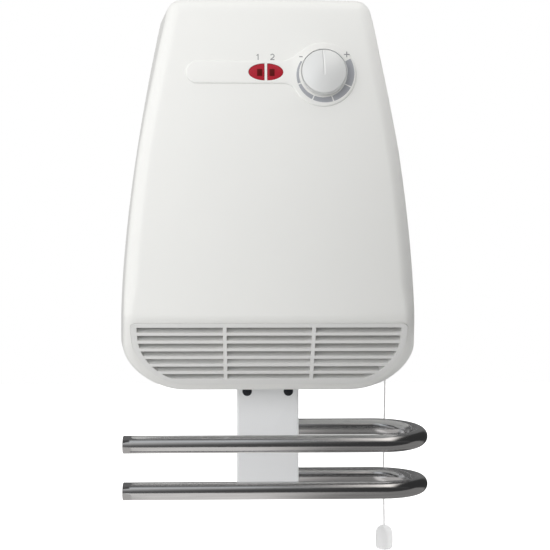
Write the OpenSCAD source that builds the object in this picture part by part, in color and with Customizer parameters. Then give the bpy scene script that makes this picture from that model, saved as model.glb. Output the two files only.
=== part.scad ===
// Bathroom wall fan heater: a down-flow convector with a pull-cord switch, a
// thermostat knob and two J-shaped towel rails on a bracket below it.
//
// X runs to the right, the wall is the plane y = 0, the heater stands out of
// the wall towards -y, and z is up. The origin is on the wall, at the middle
// of the casing. A depth is a distance from the wall, so y = -depth.

/* [Casing] */
// Width of the casing at its widest, beside the air outlet
casing_w = 288.6; // [286:0.2:290]
// Height of the casing's top over the origin, at the wall
casing_top = 186; // [184:1:188]
// Distance from the origin down to the casing's underside
casing_drop = 182; // [180:1:183]
// Depth of the front at the lip over the outlet
lip_depth = 128; // [127:0.5:129]
// How far the front leans back from the lip to the top
front_lean = 30; // [28:0.5:32]
// How much each side draws in from the lip to the top
side_taper = 36.8; // [35:0.2:39]
// Depth of the rear housing, where the front cover begins
split_depth = 24; // [23:0.5:25]
// Thickness of the moulded walls
wall = 2.5; // [2:0.1:3]

/* [Outlet grille] */
// Lean of the outlet panel from the vertical, in degrees
panel_tilt = 40.24; // [39:0.1:41]
// Half width of the slots at the top rows
slot_reach = 118.5; // [116:0.5:120]
// Distance from one slot to the next, down the panel
slot_pitch = 9.82; // [9.6:0.01:10]
// Height of a slot, down the panel
slot_h = 6.3; // [5.5:0.1:6.6]
// Width of the two upright bars, and of the rim round the slots
bar_w = 3.4; // [3:0.1:4]

/* [Controls] */
// Diameter of the thermostat knob
knob_d = 42; // [41:0.5:43]
// Height of the knob over the panel
knob_h = 12.2; // [11.6:0.1:13]
// Place of the knob's axis, to the right of the middle
knob_x = 49.3; // [49:0.1:51]
// Height of the knob's axis on the front
knob_z = 108.6; // [107.5:0.1:109.5]
// Place of the middle of the two signal lenses
lens_x = -3; // [-4:0.5:-2]
// Width of the two lenses together
lens_w = 31.6; // [30:0.2:33]
// Height of the lenses
lens_h = 15.6; // [15:0.2:16]
// How far the control strip stands out of the front
strip_rise = 1.2; // [0.8:0.1:1.5]

/* [Blower] */
// Radius of the crossflow impeller
fan_r = 27; // [26:0.5:27.5]
// Number of blades in the impeller
blades = 24; // [18:1:28]
// Depth of the impeller's axis
fan_depth = 62; // [61:0.5:63]
// Height of the impeller's axis
fan_z = -35; // [-36:0.5:-34]

/* [Towel rails] */
// Outer diameter of the rail tube
rail_d = 16; // [15:0.5:16]
// Radius of the rail's bend, at the middle of the tube
rail_bend = 40; // [39:0.5:41]
// Where the bend's centre is, to the right of the middle
bend_x = 102.7; // [102:0.1:105]
// Where the open leg of a rail ends, to the left of the middle
rail_end = 131.7; // [130:0.1:135]
// Depth of the legs near the wall
rail_depth = 28; // [28:0.5:29]
// Height of the upper rail
upper_z = -223.3; // [-224:0.1:-222]
// Height of the lower rail
lower_z = -271.6; // [-273:0.1:-271]
// Width of the folded bracket that carries the rails
bracket_w = 60; // [58:0.5:61]
// Depth of the bracket's front plate
bracket_depth = 45; // [44:0.5:46]
// Sheet thickness of the bracket
sheet = 2; // [1.5:0.1:2.2]

/* [Pull cord] */
// Diameter of the cord
cord_d = 1.8; // [1.6:0.1:2]
// How far a pull draws the plunger down
pull_travel = 10; // [8:0.5:10]
// Diameter of the pull at the cord's end
pull_d = 17.4; // [16:0.2:18]
// Height of that pull
pull_h = 24; // [23:0.5:26]

/* [Hidden] */
$fn = 64;
round_fn = 32;
white = [0.93, 0.93, 0.92];
steel = [0.72, 0.73, 0.75];
dark = [0.2, 0.21, 0.23];
gap = 0.3;
fit = 0.05;

// The sides run straight down to shoulder_z and turn in from corner_z
half_w = casing_w / 2;
shoulder_z = -115;
taper_span = 281;
taper_power = 1.6;
corner_z = -136.5;
corner_x = 85;
corner_power = 1.8;
top_corner_r = 11;

// Lean of the front: 128 deep at the lip, less towards the top
lean_z = -113;
lean_span = 294;
lean_power = 1.3;
face_tilt = 7;

// The outlet panel starts under the lip at this depth and height
panel_depth = lip_depth - 3;
panel_z = -116;
panel_reach = panel_depth * cos(panel_tilt) - panel_z * sin(panel_tilt);

// The top of the cover slopes down from the housing to this ball, [height, radius]
top_ball = [170.6, 11];
top_slope = atan((casing_top - top_ball[0] - top_ball[1])
    / (face_depth(top_ball[0]) - top_ball[1] - split_depth - 1));

// Air inlet in the top, measured along the slope
inlet_half = 72;
inlet_d0 = 6;
inlet_d1 = 49;

// Outlet grille, measured down the panel from its top edge
slot_rows = 7;
first_slot = 5.3;
slot_turn = 22;
slot_foot = 73;
slot_core = 80;
frame_rim = 5.5;
bay_x = 40;

// Screws that hold the casing together and the heater to the wall
wall_screw_x = 60;
wall_screw_z = 140;
wall_hole_r = 2.75;
case_screw_x = 82;
case_screw_depth = 33;
head_sink = 2.6;
plug_z = -186.2;
plug_x = 20;
plug_r = 4.65;
bracket_foot = -283;
plate_top = -casing_drop + 1.8;
tab_top = -146;
tab_screw_z = -160;
control_screw_x = [24, 76];

// Blower, from the left end of the impeller to the right
fan_x0 = -70;
fan_x1 = 100;
duct_x0 = -74;
duct_x1 = 104;
plate = 1.5;
shaft_r = 2.5;
stub_r = 2;
rotor_r = 12.5;
stack_x0 = -108;
stack_x1 = -92;
motor_screw_off = 20;

// Heating element, a frame with two bars
element_z0 = -104;
element_z1 = -88;
bar_depths = [52, 79];
bar_x0 = -65.7;
bar_x1 = 97.7;

// Mains cable inlet in the housing's back, and the terminal block below it
grommet_x = -80;
grommet_z = 92;

// Pull switch and the cord below it
cord_x = 118.5;
cord_depth = 12;
cord_start = -154;
cord_stop = -324.4;
switch_z0 = -150;
switch_z1 = -118;
switch_screw_x = 103;
switch_screw_z = [-124, -144];
spring_z = switch_z0 + 2.5;
spring_h = pull_travel + 7.5;

// The cord hangs from the switch plunger, with a slight set at mid height
cord_route = [
    [118.5, -12, -154], [118.5, -12, -163], [118.5, -12, -172], [118.5, -12, -181],
    [118.5, -12, -190], [118.4, -12, -200], [118.2, -12, -210], [117.9, -12, -220],
    [117.6, -12, -230], [117.4, -12, -240], [117.3, -12, -250], [117.2, -12, -260],
    [117.2, -12, -270], [117.2, -12, -280], [117.3, -12, -290], [117.4, -12, -300],
    [117.6, -12, -312], [117.8, -12, -324.4]];
pull_x = 117.8;

// ---- Shapes shared by several parts ----

// Half width of the casing at height z, where it is widest
function side_w(z) =
    z > shoulder_z ? half_w - side_taper * pow((z - shoulder_z) / taper_span, taper_power) : half_w;

// Depth of the front at height z
function face_depth(z) =
    z > lean_z ? lip_depth - front_lean * pow((z - lean_z) / lean_span, lean_power) : lip_depth;

// How much a side draws in for each millimetre of depth, at height z
function draft(z) = 0.147 + 0.00035 * max(0, z - 40);

// A quarter of a rounded corner, from the side (a = 0) to the foot (a = 90)
function corner(cx, cz, rx, rz, a) =
    [cx + rx * pow(cos(a), 2 / corner_power), cz - rz * pow(sin(a), 2 / corner_power)];

// Right half of the casing's outline in x and z, drawn in by e
function half_outline(e) = concat(
    [for (a = [90:-6:0]) corner(corner_x, corner_z, half_w - corner_x - e, corner_z + casing_drop - e, a)],
    [for (z = [shoulder_z:18:160]) [side_w(z) - e, z]],
    [for (a = [14:12.66:90]) top_corner_point(a, top_corner_r - e)],
    [[60, casing_top - e]]);

function top_corner_point(a, r) =
    let (zc = casing_top - top_corner_r)
    [side_w(zc + 4) - top_corner_r * cos(14) + r * cos(a), zc - 0.8 + r * sin(a)];

function mirrored(half) = concat(half, [for (i = [len(half) - 1:-1:0]) [-half[i][0], half[i][1]]]);

function outline(e) = mirrored(half_outline(e));

// A strip of thickness t to the left of an open path
function strip(path, t) =
    let (n = len(path))
    concat(path, [for (i = [n - 1:-1:0])
        let (a = path[max(i - 1, 0)], b = path[min(i + 1, n - 1)], d = (b - a) / norm(b - a))
        path[i] + t * [-d[1], d[0]]]);

// Extrudes an outline drawn in x and z, from depth d0 to depth d1
module slab(d0, d1) {
    translate([0, -d0, 0])
        rotate([90, 0, 0])
            linear_extrude(d1 - d0)
                children();
}

// Extrudes an outline drawn in depth and z, from x0 to x1
module across(x0, x1) {
    translate([x1, 0, 0])
        rotate([90, 0, -90])
            linear_extrude(x1 - x0)
                children();
}

// A box from its two corners, given as [x, depth, z]
module block(a, b) {
    translate([a[0], -b[1], a[2]])
        cube([b[0] - a[0], b[1] - a[1], b[2] - a[2]]);
}

// A round bar along x
module rod_x(x0, x1, r, depth, z) {
    translate([x0, -depth, z])
        rotate([0, 90, 0])
            cylinder(h = x1 - x0, r = r);
}

// A round bar straight out of the wall, from depth d0 to depth d1
module rod_out(x, z, r, d0, d1) {
    translate([x, -d0, z])
        rotate([90, 0, 0])
            cylinder(h = d1 - d0, r = r);
}

// Local frame on the front: x right, y up the face, z out of it
module on_face(x, z) {
    translate([x, -face_depth(z), z])
        rotate([90 - face_tilt, 0, 0])
            children();
}

// Local frame on the top: x right, -y along the slope to the front, z out of it
module on_top() {
    translate([0, -split_depth - 1, casing_top])
        rotate([top_slope, 0, 0])
            children();
}

// Local frame on the outlet panel: x right, y up the panel, z out of it
module on_panel() {
    translate([0, -panel_depth, panel_z])
        rotate([90 + panel_tilt, 0, 0])
            children();
}

// A pan-head screw whose head sits on z = 0, with its shank below
module screw(r, length, head_r, head_h) {
    difference() {
        union() {
            translate([0, 0, -length])
                cylinder(h = length, r = r);
            cylinder(h = head_h, r = head_r);
        }
        for (a = [0, 90])
            rotate(a)
                translate([-head_r * 0.6, -0.4, head_h - 1])
                    cube([head_r * 1.2, 0.8, 2]);
    }
}

// ---- Casing ----

// The balls whose hull is the cover: [x, depth, z, radius] on the right side
face_balls = [for (k = [top_ball, [150, 11.5], [128, 12], [88, 12], [45, 12], [0, 12], [-45, 12], [-85, 12]])
    let (depth = face_depth(k[0]) - k[1])
    [side_w(k[0]) - draft(k[0]) * (depth - split_depth) - k[1], depth, k[0], k[1]]];

function panel_ball(x, z, r) = [x, (panel_reach - r + z * sin(panel_tilt)) / cos(panel_tilt), z, r];

function casing_corner(a) =
    corner(corner_x, corner_z, half_w - corner_x, corner_z + casing_drop, a);

// The ball of radius r that fits the casing's lower corner at angle a
function corner_ball(a, r) =
    let (t = casing_corner(a + 1) - casing_corner(a - 1),
        c = casing_corner(a) - r / norm(t) * [-t[1], t[0]],
        b = panel_ball(0, c[1], r))
    [c[0] - draft(c[1]) * (b[1] - split_depth), b[1], c[1], r];

function side_ball(z, r) =
    let (b = panel_ball(0, z, r))
    [half_w - r - draft(z) * (b[1] - split_depth), b[1], z, r];

panel_balls = concat([side_ball(-109, 10), side_ball(-127, 11), panel_ball(108, -110.3, 6),
        panel_ball(84, -casing_drop + 6, 6)],
    [for (k = [[12, 10], [26, 9], [40, 8], [54, 7], [68, 6.5], [80, 6]]) corner_ball(k[0], k[1])]);

module cover_form(e) {
    hull() {
        slab(split_depth - (e > 0 ? 1 : 0), split_depth + 1)
            polygon(outline(e));
        for (b = concat(face_balls, panel_balls), side = [-1, 1])
            translate([side * b[0], -b[1], b[2]])
                sphere(r = b[3] - e, $fn = round_fn);
    }
}

function slot_half(v) =
    v < slot_turn ? slot_reach
    : slot_core + (slot_reach - slot_core)
        * pow(1 - pow((v - slot_turn) / (slot_foot - slot_turn), corner_power), 1 / corner_power);

// Outline of the grille frame, e inside its true edge; v runs down, so y = -v
function frame_outline(e) = mirrored(concat(
    [for (a = [90:-7.5:0])
        corner(slot_core, -slot_turn, slot_reach - slot_core + frame_rim - e,
            slot_foot - slot_turn + frame_rim - e, a)],
    [for (a = [0:30:90])
        [slot_reach + frame_rim - 6 + (6 - e) * cos(a), -6.5 + (6 - e) * sin(a)]]));

strip_half = 10.75;
strip_left = -75.7;
strip_ring = 30;

// Control strip round the lenses and the knob, in the frame on_face(knob_x, knob_z)
strip_y = 1.8;
strip_points = concat(
    [for (a = [90:15:270])
        [strip_left - knob_x + strip_half + strip_half * cos(a), strip_y + strip_half * sin(a)]],
    [[-44, strip_y - strip_half], [-36, strip_y - strip_half - 1.6]],
    [for (a = [218:12:506]) strip_ring * [cos(a), sin(a)]],
    [[-36, strip_y + strip_half + 1.6], [-44, strip_y + strip_half]]);

module lens_outline(side, e) {
    polygon([for (a = [-90:7.5:90])
        [side * (1.25 - e / 2 + (lens_w / 2 - 1.25 + e) * cos(a)), (lens_h / 2 + e) * sin(a)]]);
}

module front_cover() {
    color(white)
        difference() {
            union() {
                difference() {
                    cover_form(0);
                    cover_form(wall);
                }
                on_face(knob_x, knob_z)
                    translate([0, 0, -1])
                        linear_extrude(1 + strip_rise)
                            polygon(strip_points);
                on_face(lens_x, knob_z + strip_y)
                    for (x = [-18.5, 18.5])
                        translate([x, 0, -12])
                            cylinder(h = 10.5, r = 2);
                // Pads under the heads of the two top screws
                for (x = [-case_screw_x, case_screw_x])
                    translate([x, -case_screw_depth, casing_top - wall - 1.9])
                        cylinder(h = 2.4, r = 5.5);
            }
            on_panel() {
                translate([0, 0, -1.5])
                    linear_extrude(6)
                        polygon(frame_outline(-gap));
                translate([0, 0, -8])
                    linear_extrude(10)
                        polygon(frame_outline(3));
            }
            on_face(knob_x, knob_z)
                translate([0, 0, -8])
                    cylinder(h = 16, r = 7.5);
            on_face(lens_x, knob_z + strip_y)
                for (side = [-1, 1])
                    translate([0, 0, -8])
                        linear_extrude(12)
                            lens_outline(side, 0.1);
            on_top()
                block([-inlet_half, inlet_d0, -8], [inlet_half, inlet_d1, 4]);
            for (x = [-case_screw_x, case_screw_x]) {
                translate([x, -case_screw_depth, -casing_drop - 5])
                    cylinder(h = 12, r = 1.8);
                translate([x, -case_screw_depth, casing_top - 10])
                    cylinder(h = 15, r = 1.8);
                translate([x, -case_screw_depth, casing_top - head_sink])
                    cylinder(h = 5, r = 3.6);
            }
            // Slot in the underside for the top edge of the bracket's front plate
            block([-bracket_w / 2 - gap, bracket_depth - sheet - gap, -casing_drop - 1],
                [bracket_w / 2 + gap, bracket_depth + 1.2, -casing_drop + wall + 0.5]);
        }
}

module rear_housing() {
    spigot = wall + 0.9;
    color(white)
        difference() {
            union() {
                slab(0, wall)
                    polygon(outline(0));
                slab(0, split_depth)
                    difference() {
                        polygon(outline(0));
                        polygon(outline(wall));
                    }
                // Spigot that locates the front cover
                slab(wall, split_depth + 3)
                    difference() {
                        polygon(outline(spigot));
                        polygon(outline(spigot + 1.6));
                    }
                slab(wall, split_depth - 2)
                    difference() {
                        polygon(outline(wall - 0.5));
                        polygon(outline(spigot + 1.6));
                    }
                // Bosses for the four casing screws
                for (x = [-case_screw_x, case_screw_x]) {
                    block([x - 6, wall - 1, -casing_drop + wall + gap],
                        [x + 6, 40, -casing_drop + 16]);
                    block([x - 6, wall - 1, casing_top - 18], [x + 6, 40, casing_top - wall - 2.1]);
                }
                // Hollow pocket for the bracket's tabs
                block([-bracket_w / 2 - 3, wall - 1, -casing_drop + 1], [bracket_w / 2 + 3, 5, tab_top + 3]);
                // Pads for the thermostat bracket and the switch
                for (x = control_screw_x)
                    rod_out(x, knob_z, 5, wall - 1, 10);
                for (z = switch_screw_z)
                    rod_out(switch_screw_x, z, 4, wall - 1, 8);
                block([grommet_x - 24, wall - 1, 34], [grommet_x + 24, 6, 62]);
            }
            block([-bracket_w / 2 - gap, -1, -casing_drop - 5],
                [bracket_w / 2 + gap, sheet + gap, tab_top + gap]);
            for (x = [-wall_screw_x, wall_screw_x])
                rod_out(x, wall_screw_z, wall_hole_r, -1, wall + 1);
            for (x = [-plug_x, plug_x])
                rod_out(x, tab_screw_z, 2.05, -1, 8);
            for (x = control_screw_x)
                rod_out(x, knob_z, 1.5 + fit, 3, 11);
            for (z = switch_screw_z)
                rod_out(switch_screw_x, z, 1.5 + fit, 3, 9);
            rod_out(grommet_x, grommet_z, 8, -1, wall + 1);
            translate([cord_x, -cord_depth, -185])
                cylinder(h = 30, r = 3.5 + fit);
            for (x = [-case_screw_x, case_screw_x], z = [-casing_drop, casing_top - 20])
                translate([x, -case_screw_depth, z])
                    cylinder(h = 24, r = 1.5 + fit);
        }
}

module case_screws() {
    color(steel) {
        for (x = [-case_screw_x, case_screw_x]) {
            translate([x, -case_screw_depth, -casing_drop])
                mirror([0, 0, 1])
                    screw(1.5, 12, 3.2, 2);
            translate([x, -case_screw_depth, casing_top - head_sink])
                screw(1.5, 10, 3.2, 2);
        }
    }
}

// ---- Air grilles ----

module outlet_grille() {
    color(white)
        on_panel()
            difference() {
                union() {
                    translate([0, 0, -1.4])
                        linear_extrude(2)
                            polygon(frame_outline(0));
                    translate([0, 0, -6])
                        linear_extrude(5)
                            polygon(frame_outline(3 + gap));
                }
                for (row = [0:slot_rows - 1]) {
                    v0 = first_slot + slot_pitch * row;
                    v1 = v0 + slot_h;
                    translate([0, 0, -7])
                        linear_extrude(9) {
                            translate([-bay_x + bar_w / 2, -v1])
                                square([2 * bay_x - bar_w, slot_h]);
                            for (side = [-1, 1])
                                polygon([[side * (bay_x + bar_w / 2), -v0], [side * slot_half(v0), -v0],
                                    [side * slot_half(v1), -v1], [side * (bay_x + bar_w / 2), -v1]]);
                        }
                }
            }
}

module inlet_grille() {
    rows = 7;
    pitch = 5.6;
    slot_w = 3.4;
    bay_w = 44;
    d0 = (inlet_d0 + inlet_d1 - slot_w - pitch * (rows - 1)) / 2;
    color(white)
        on_top()
            difference() {
                union() {
                    block([-inlet_half + gap, inlet_d0 + gap, -4], [inlet_half - gap, inlet_d1 - gap, -0.6]);
                    block([-inlet_half - 2, inlet_d0 - 2, -5.5], [inlet_half + 2, inlet_d1 + 2, -3.5]);
                }
                for (i = [0:rows - 1], x = [-bay_w - 3, 0, bay_w + 3])
                    block([x - bay_w / 2, d0 + pitch * i, -7], [x + bay_w / 2, d0 + pitch * i + slot_w, 1]);
            }
}

// ---- Controls ----

module lens(side) {
    color([0.7, 0.2, 0.25])
        on_face(lens_x, knob_z + strip_y) {
            translate([0, 0, -wall - 0.6])
                linear_extrude(wall + strip_rise + 0.3)
                    lens_outline(side, 0);
            translate([0, 0, -wall - 1.7])
                linear_extrude(1.1)
                    polygon([[side * 0.4, -lens_h / 2 - 1.5], [side * (lens_w / 2 - 0.5), -lens_h / 2 + 2],
                        [side * (lens_w / 2 - 0.5), lens_h / 2 - 2], [side * 0.4, lens_h / 2 + 1.5]]);
        }
}

module lens_left() {
    lens(-1);
}

module lens_right() {
    lens(1);
}

module lamp(x) {
    color([0.9, 0.5, 0.3])
        on_face(lens_x, knob_z + strip_y)
            translate([x, -5, -8])
                rotate([-90, 0, 0]) {
                    cylinder(h = 8, r = 2.2);
                    translate([0, 0, 8])
                        sphere(r = 2.2);
                }
}

module lamp_left() {
    lamp(-5.9);
}

module lamp_right() {
    lamp(5.9);
}

module lamp_holder() {
    color(dark)
        on_face(lens_x, knob_z + strip_y)
            difference() {
                translate([-22, -8, -14.5])
                    cube([44, 16, 4]);
                for (x = [-18.5, 18.5])
                    translate([x, 0, -15])
                        cylinder(h = 5, r = 2 + fit);
            }
}

knob_lip_h = 8.3;
knob_cap_r = knob_d / 2 - 0.85;
knob_edge_r = 1.3;

// Domed cap of the knob, with a round edge
module knob_cap() {
    edge_x = knob_cap_r - knob_edge_r;
    edge_z = knob_lip_h - 0.5;
    dome_r = edge_x + knob_edge_r * cos(70);
    dome_z = edge_z + knob_edge_r * sin(70);
    rotate_extrude()
        polygon(concat([[0, 0], [knob_cap_r, 0]],
            [for (a = [0:17.5:70]) [edge_x + knob_edge_r * cos(a), edge_z + knob_edge_r * sin(a)]],
            [for (t = [0.8:-0.2:0]) [dome_r * t, dome_z + (knob_h - dome_z) * (1 - t * t)]]));
}

module thermostat_knob() {
    base = strip_rise + 0.4;
    r = knob_d / 2;
    color([0.86, 0.87, 0.88])
        on_face(knob_x, knob_z)
            difference() {
                union() {
                    // Skirt that widens to a thin lip; a fine groove parts the lip from the cap
                    translate([0, 0, base]) {
                        rotate_extrude()
                            polygon([[0, 0], [r - 1, 0], [r, knob_lip_h - 0.4], [r - 0.1, knob_lip_h],
                                [r - 0.35, knob_lip_h], [r - 0.35, knob_lip_h - 1.1], [0, knob_lip_h - 1.1]]);
                        knob_cap();
                    }
                    translate([0, 0, -6])
                        cylinder(h = 8, r = 6);
                }
                // Hollow under the cap, and the bore for the spindle
                translate([0, 0, base - 1])
                    rotate_extrude()
                        polygon([[6, 0], [r - 3, 0], [r - 3, knob_lip_h - 1.5], [6, knob_lip_h + 0.5]]);
                translate([0, 0, -7])
                    cylinder(h = 17, r = 3 + fit / 2);
                // Pointer groove, from the lip to a little past the middle
                difference() {
                    translate([-0.55, -3.6, base + knob_lip_h - 0.4])
                        cube([1.1, knob_cap_r + 4, knob_h]);
                    translate([0, 0, base - 0.7])
                        knob_cap();
                }
            }
}

module thermostat_spindle() {
    color(steel)
        on_face(knob_x, knob_z)
            difference() {
                translate([0, 0, -22])
                    cylinder(h = 31, r = 3);
                translate([1.6, -4, -2])
                    cube([4, 8, 20]);
            }
}

module thermostat_body() {
    color(dark)
        on_face(knob_x, knob_z)
            difference() {
                union() {
                    translate([-17, -17, -36])
                        cube([34, 34, 18.8]);
                    translate([0, 0, -18])
                        cylinder(h = 9, r = 5);
                    for (x = [-12, 0, 12])
                        translate([x - 3, -23, -30])
                            cube([6, 7, 0.8]);
                }
                translate([0, 0, -22 - gap])
                    cylinder(h = 20, r = 3 + fit);
            }
}

module thermostat_nut() {
    color(steel)
        on_face(knob_x, knob_z)
            translate([0, 0, -15.1])
                difference() {
                    cylinder(h = 3, r = 8, $fn = 6);
                    translate([0, 0, -1])
                        cylinder(h = 5, r = 5 + fit / 2);
                }
}

module control_bracket() {
    z0 = knob_z - 13;
    z1 = knob_z + 13;
    color(steel)
        difference() {
            union() {
                on_face(knob_x, knob_z)
                    translate([-22, -13, -17.1])
                        cube([44, 26, 1.9]);
                for (x = [28, 70])
                    across(x, x + 2)
                        polygon([[10, z0], [face_depth(knob_z) - 14.6, z0 + 2],
                            [face_depth(knob_z) - 17.5, z1 - 2], [10, z1]]);
                for (x = [17, 70])
                    block([x, 10, z0], [x + 13, 12, z1]);
            }
            on_face(knob_x, knob_z)
                translate([0, 0, -20])
                    cylinder(h = 8, r = 5 + fit / 2);
            for (x = control_screw_x)
                rod_out(x, knob_z, 1.7, 8, 14);
        }
}

module control_screws() {
    color(steel)
        for (x = control_screw_x)
            translate([x, -12, knob_z])
                rotate([90, 0, 0])
                    screw(1.5, 8, 3, 2);
}

// ---- Mains side ----

module terminal_block() {
    color([0.85, 0.85, 0.8])
        difference() {
            block([grommet_x - 22, 6, 38], [grommet_x + 22, 22, 58]);
            for (i = [-1.5:1.5]) {
                x = grommet_x + 11 * i;
                rod_out(x, 43, 2, 12, 23);
                rod_out(x, 53, 2, 12, 23);
                translate([x, -10, 30])
                    cylinder(h = 40, r = 1.8);
            }
        }
}

module cable_grommet() {
    color(dark)
        translate([grommet_x, 0, grommet_z])
            rotate([90, 0, 0])
                rotate_extrude()
                    polygon([[4.5, 0.1], [7.9, 0.1], [7.9, wall + fit], [10, wall + fit], [10, 5], [6, 7],
                        [4.5, 7]]);
}

// ---- Pull switch ----

module pull_switch_body() {
    color(dark)
        difference() {
            union() {
                block([cord_x - 9, 3, switch_z0], [cord_x + 9, 24, switch_z1]);
                block([switch_screw_x - 5, 8, switch_z0 + 1], [cord_x - 8, 10.5, switch_z1 - 1]);
            }
            translate([cord_x, -cord_depth, spring_z])
                cylinder(h = spring_h + 6.5, r = 4.6);
            translate([cord_x, -cord_depth, switch_z0 - 1])
                cylinder(h = 5, r = 1.6);
            for (z = switch_screw_z)
                rod_out(switch_screw_x, z, 1.7, 7, 12);
        }
}

module switch_plunger() {
    color("ivory")
        translate([cord_x, -cord_depth, cord_start]) {
            cylinder(h = spring_z + spring_h - cord_start, r = 1.5);
            translate([0, 0, spring_z + spring_h - cord_start])
                cylinder(h = 4, r = 4.5);
        }
}

module plunger_spring() {
    color(steel)
        translate([cord_x, -cord_depth, spring_z])
            difference() {
                cylinder(h = spring_h, r = 4.2);
                translate([0, 0, -1])
                    cylinder(h = spring_h + 2, r = 3.2);
            }
}

module switch_screws() {
    color(steel)
        for (z = switch_screw_z)
            translate([switch_screw_x, -10.5, z])
                rotate([90, 0, 0])
                    screw(1.5, 6, 3, 2);
}

module cord_guide() {
    color(white)
        translate([cord_x, -cord_depth, -178])
            difference() {
                cylinder(h = 11, r = 3.5);
                translate([0, 0, -1])
                    cylinder(h = 13, r = 1.5);
            }
}

// The cord is swept as a tube: two rings for each step of its route
sides = 8;

function route_point(t) =
    let (i = min(floor(t), len(cord_route) - 2), f = t - i)
    cord_route[i] * (1 - f) + cord_route[i + 1] * f;

module pull_cord() {
    rings = 2 * (len(cord_route) - 1);
    points = [for (k = [0:rings], s = [0:sides - 1])
        route_point(k / 2) + cord_d / 2 * [cos(360 * s / sides), sin(360 * s / sides), 0]];
    skin = [for (k = [0:rings - 1], s = [0:sides - 1])
        let (a = k * sides + s, b = k * sides + (s + 1) % sides)
        [a, a + sides, b + sides, b]];
    color("white")
        polyhedron(points, concat(skin, [[for (s = [0:sides - 1]) s],
            [for (s = [sides - 1:-1:0]) rings * sides + s]]));
}

module cord_pull() {
    r = pull_d / 2;
    color("white")
        translate([pull_x, -cord_depth, cord_stop - pull_h])
            rotate_extrude()
                polygon(concat([[0, 0], [r - 1.6, 0], [r - 0.3, 1.5], [r, pull_h * 0.35]],
                    [for (a = [0:15:90]) [(r - 0.4) * cos(a), pull_h - 8 + 8 * sin(a)]]));
}

// ---- Blower ----

// Rear wall of the air duct: a spiral behind the impeller, then down to the outlet
scroll_path = concat(
    [for (a = [110:10:230])
        [fan_depth, fan_z] + (fan_r + 2.5 + (a - 110) * 0.075) * [cos(a), sin(a)]],
    [[33, -84], [32, -106], [34, -130], [42, -152], [52, -164], [62, -169.8]]);

// Front wall of the air duct, from the tongue under the impeller to the lip
tongue_path = [[84, -53], [86, -49.5], [90, -52], [94, -66], [98, -84], [103, -100], [114, -108]];

module fan_scroll() {
    color(steel)
        across(duct_x0 + plate, duct_x1)
            polygon(strip(scroll_path, -1.2));
}

module fan_tongue() {
    color(steel)
        across(duct_x0 + plate, duct_x1)
            polygon(strip(tongue_path, 1.2));
}

duct_outline = [[26, 6], [98, 6], [100, -60], [108, -94], [120, -106], [119.5, -110], [69.5, -170],
    [62, -172.3], [50, -170], [28, -140], [26, -100]];

module duct_side(x) {
    across(x, x + plate)
        polygon(duct_outline);
}

module duct_side_left() {
    color(steel)
        difference() {
            duct_side(duct_x0);
            rod_x(duct_x0 - 1, duct_x0 + plate + 1, 10, fan_depth, fan_z);
            for (s = [-1, 1])
                rod_x(duct_x0 - 1, duct_x0 + plate + 1, 1.5 + fit, fan_depth + s * motor_screw_off, fan_z);
        }
}

module duct_side_right() {
    color(steel)
        difference() {
            duct_side(duct_x1);
            rod_x(duct_x1 - 1, duct_x1 + plate + 1, 9 + fit, fan_depth, fan_z);
        }
}

module fan_impeller() {
    color([0.55, 0.56, 0.58])
        difference() {
            union() {
                across(fan_x0, fan_x1)
                    translate([fan_depth, fan_z])
                        for (i = [0:blades - 1])
                            rotate(i * 360 / blades)
                                polygon([[fan_r - 6.5, -0.4], [fan_r - 3, 0.9], [fan_r - 0.4, 3.2],
                                    [fan_r - 0.9, 3.9], [fan_r - 3.4, 1.7], [fan_r - 6.6, 0.4]]);
                for (x = [fan_x0, -13.7, 42.5, fan_x1 - plate])
                    rod_x(x, x + plate, fan_r, fan_depth, fan_z);
                rod_x(fan_x1 - 8, fan_x1, 5, fan_depth, fan_z);
            }
            rod_x(fan_x0 - 1, fan_x0 + plate + 1, 8 + fit, fan_depth, fan_z);
            rod_x(fan_x1 - 8 - 1, fan_x1 + 1, stub_r + fit / 2, fan_depth, fan_z);
        }
}

module impeller_hub() {
    color(dark)
        difference() {
            rod_x(fan_x0 - 1, fan_x0 + 10, 8, fan_depth, fan_z);
            rod_x(fan_x0 - 2, fan_x0 + 11, shaft_r + fit / 2, fan_depth, fan_z);
        }
}

module fan_stub_shaft() {
    color(steel)
        rod_x(fan_x1 - 8, 113, stub_r, fan_depth, fan_z);
}

module bearing_bush() {
    color("peru")
        difference() {
            rod_x(102, 112, 5, fan_depth, fan_z);
            rod_x(101, 113, stub_r + fit, fan_depth, fan_z);
        }
}

module bearing_mount() {
    color(dark)
        translate([duct_x1 - 1, -fan_depth, fan_z])
            rotate([0, 90, 0])
                rotate_extrude()
                    polygon([[5 + fit / 2, 0], [11, 0], [11, 1 - fit], [9, 1 - fit], [9, 1 + plate + fit],
                        [11, 1 + plate + fit], [11, 4.5], [5 + fit / 2, 7]]);
}

// ---- Motor ----

module motor_shaft() {
    color(steel)
        rod_x(-122, fan_x0 + 8, shaft_r, fan_depth, fan_z);
}

module motor_rotor() {
    color(steel)
        difference() {
            rod_x(stack_x0 - 1, stack_x1 + 1, rotor_r, fan_depth, fan_z);
            rod_x(stack_x0 - 2, stack_x1 + 2, shaft_r + fit / 2, fan_depth, fan_z);
        }
}

module motor_stator() {
    color([0.45, 0.45, 0.47])
        difference() {
            block([stack_x0, fan_depth - 24, fan_z - 48], [stack_x1, fan_depth + 24, fan_z + 21]);
            rod_x(stack_x0 - 1, stack_x1 + 1, rotor_r + 0.5, fan_depth, fan_z);
            block([stack_x0 - 1, fan_depth - 15, fan_z - 36], [stack_x1 + 1, fan_depth + 15, fan_z - 22]);
            for (s = [-1, 1])
                rod_x(stack_x0 - 1, stack_x1 + 1, 1.5 + fit, fan_depth + s * motor_screw_off, fan_z);
        }
}

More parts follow.
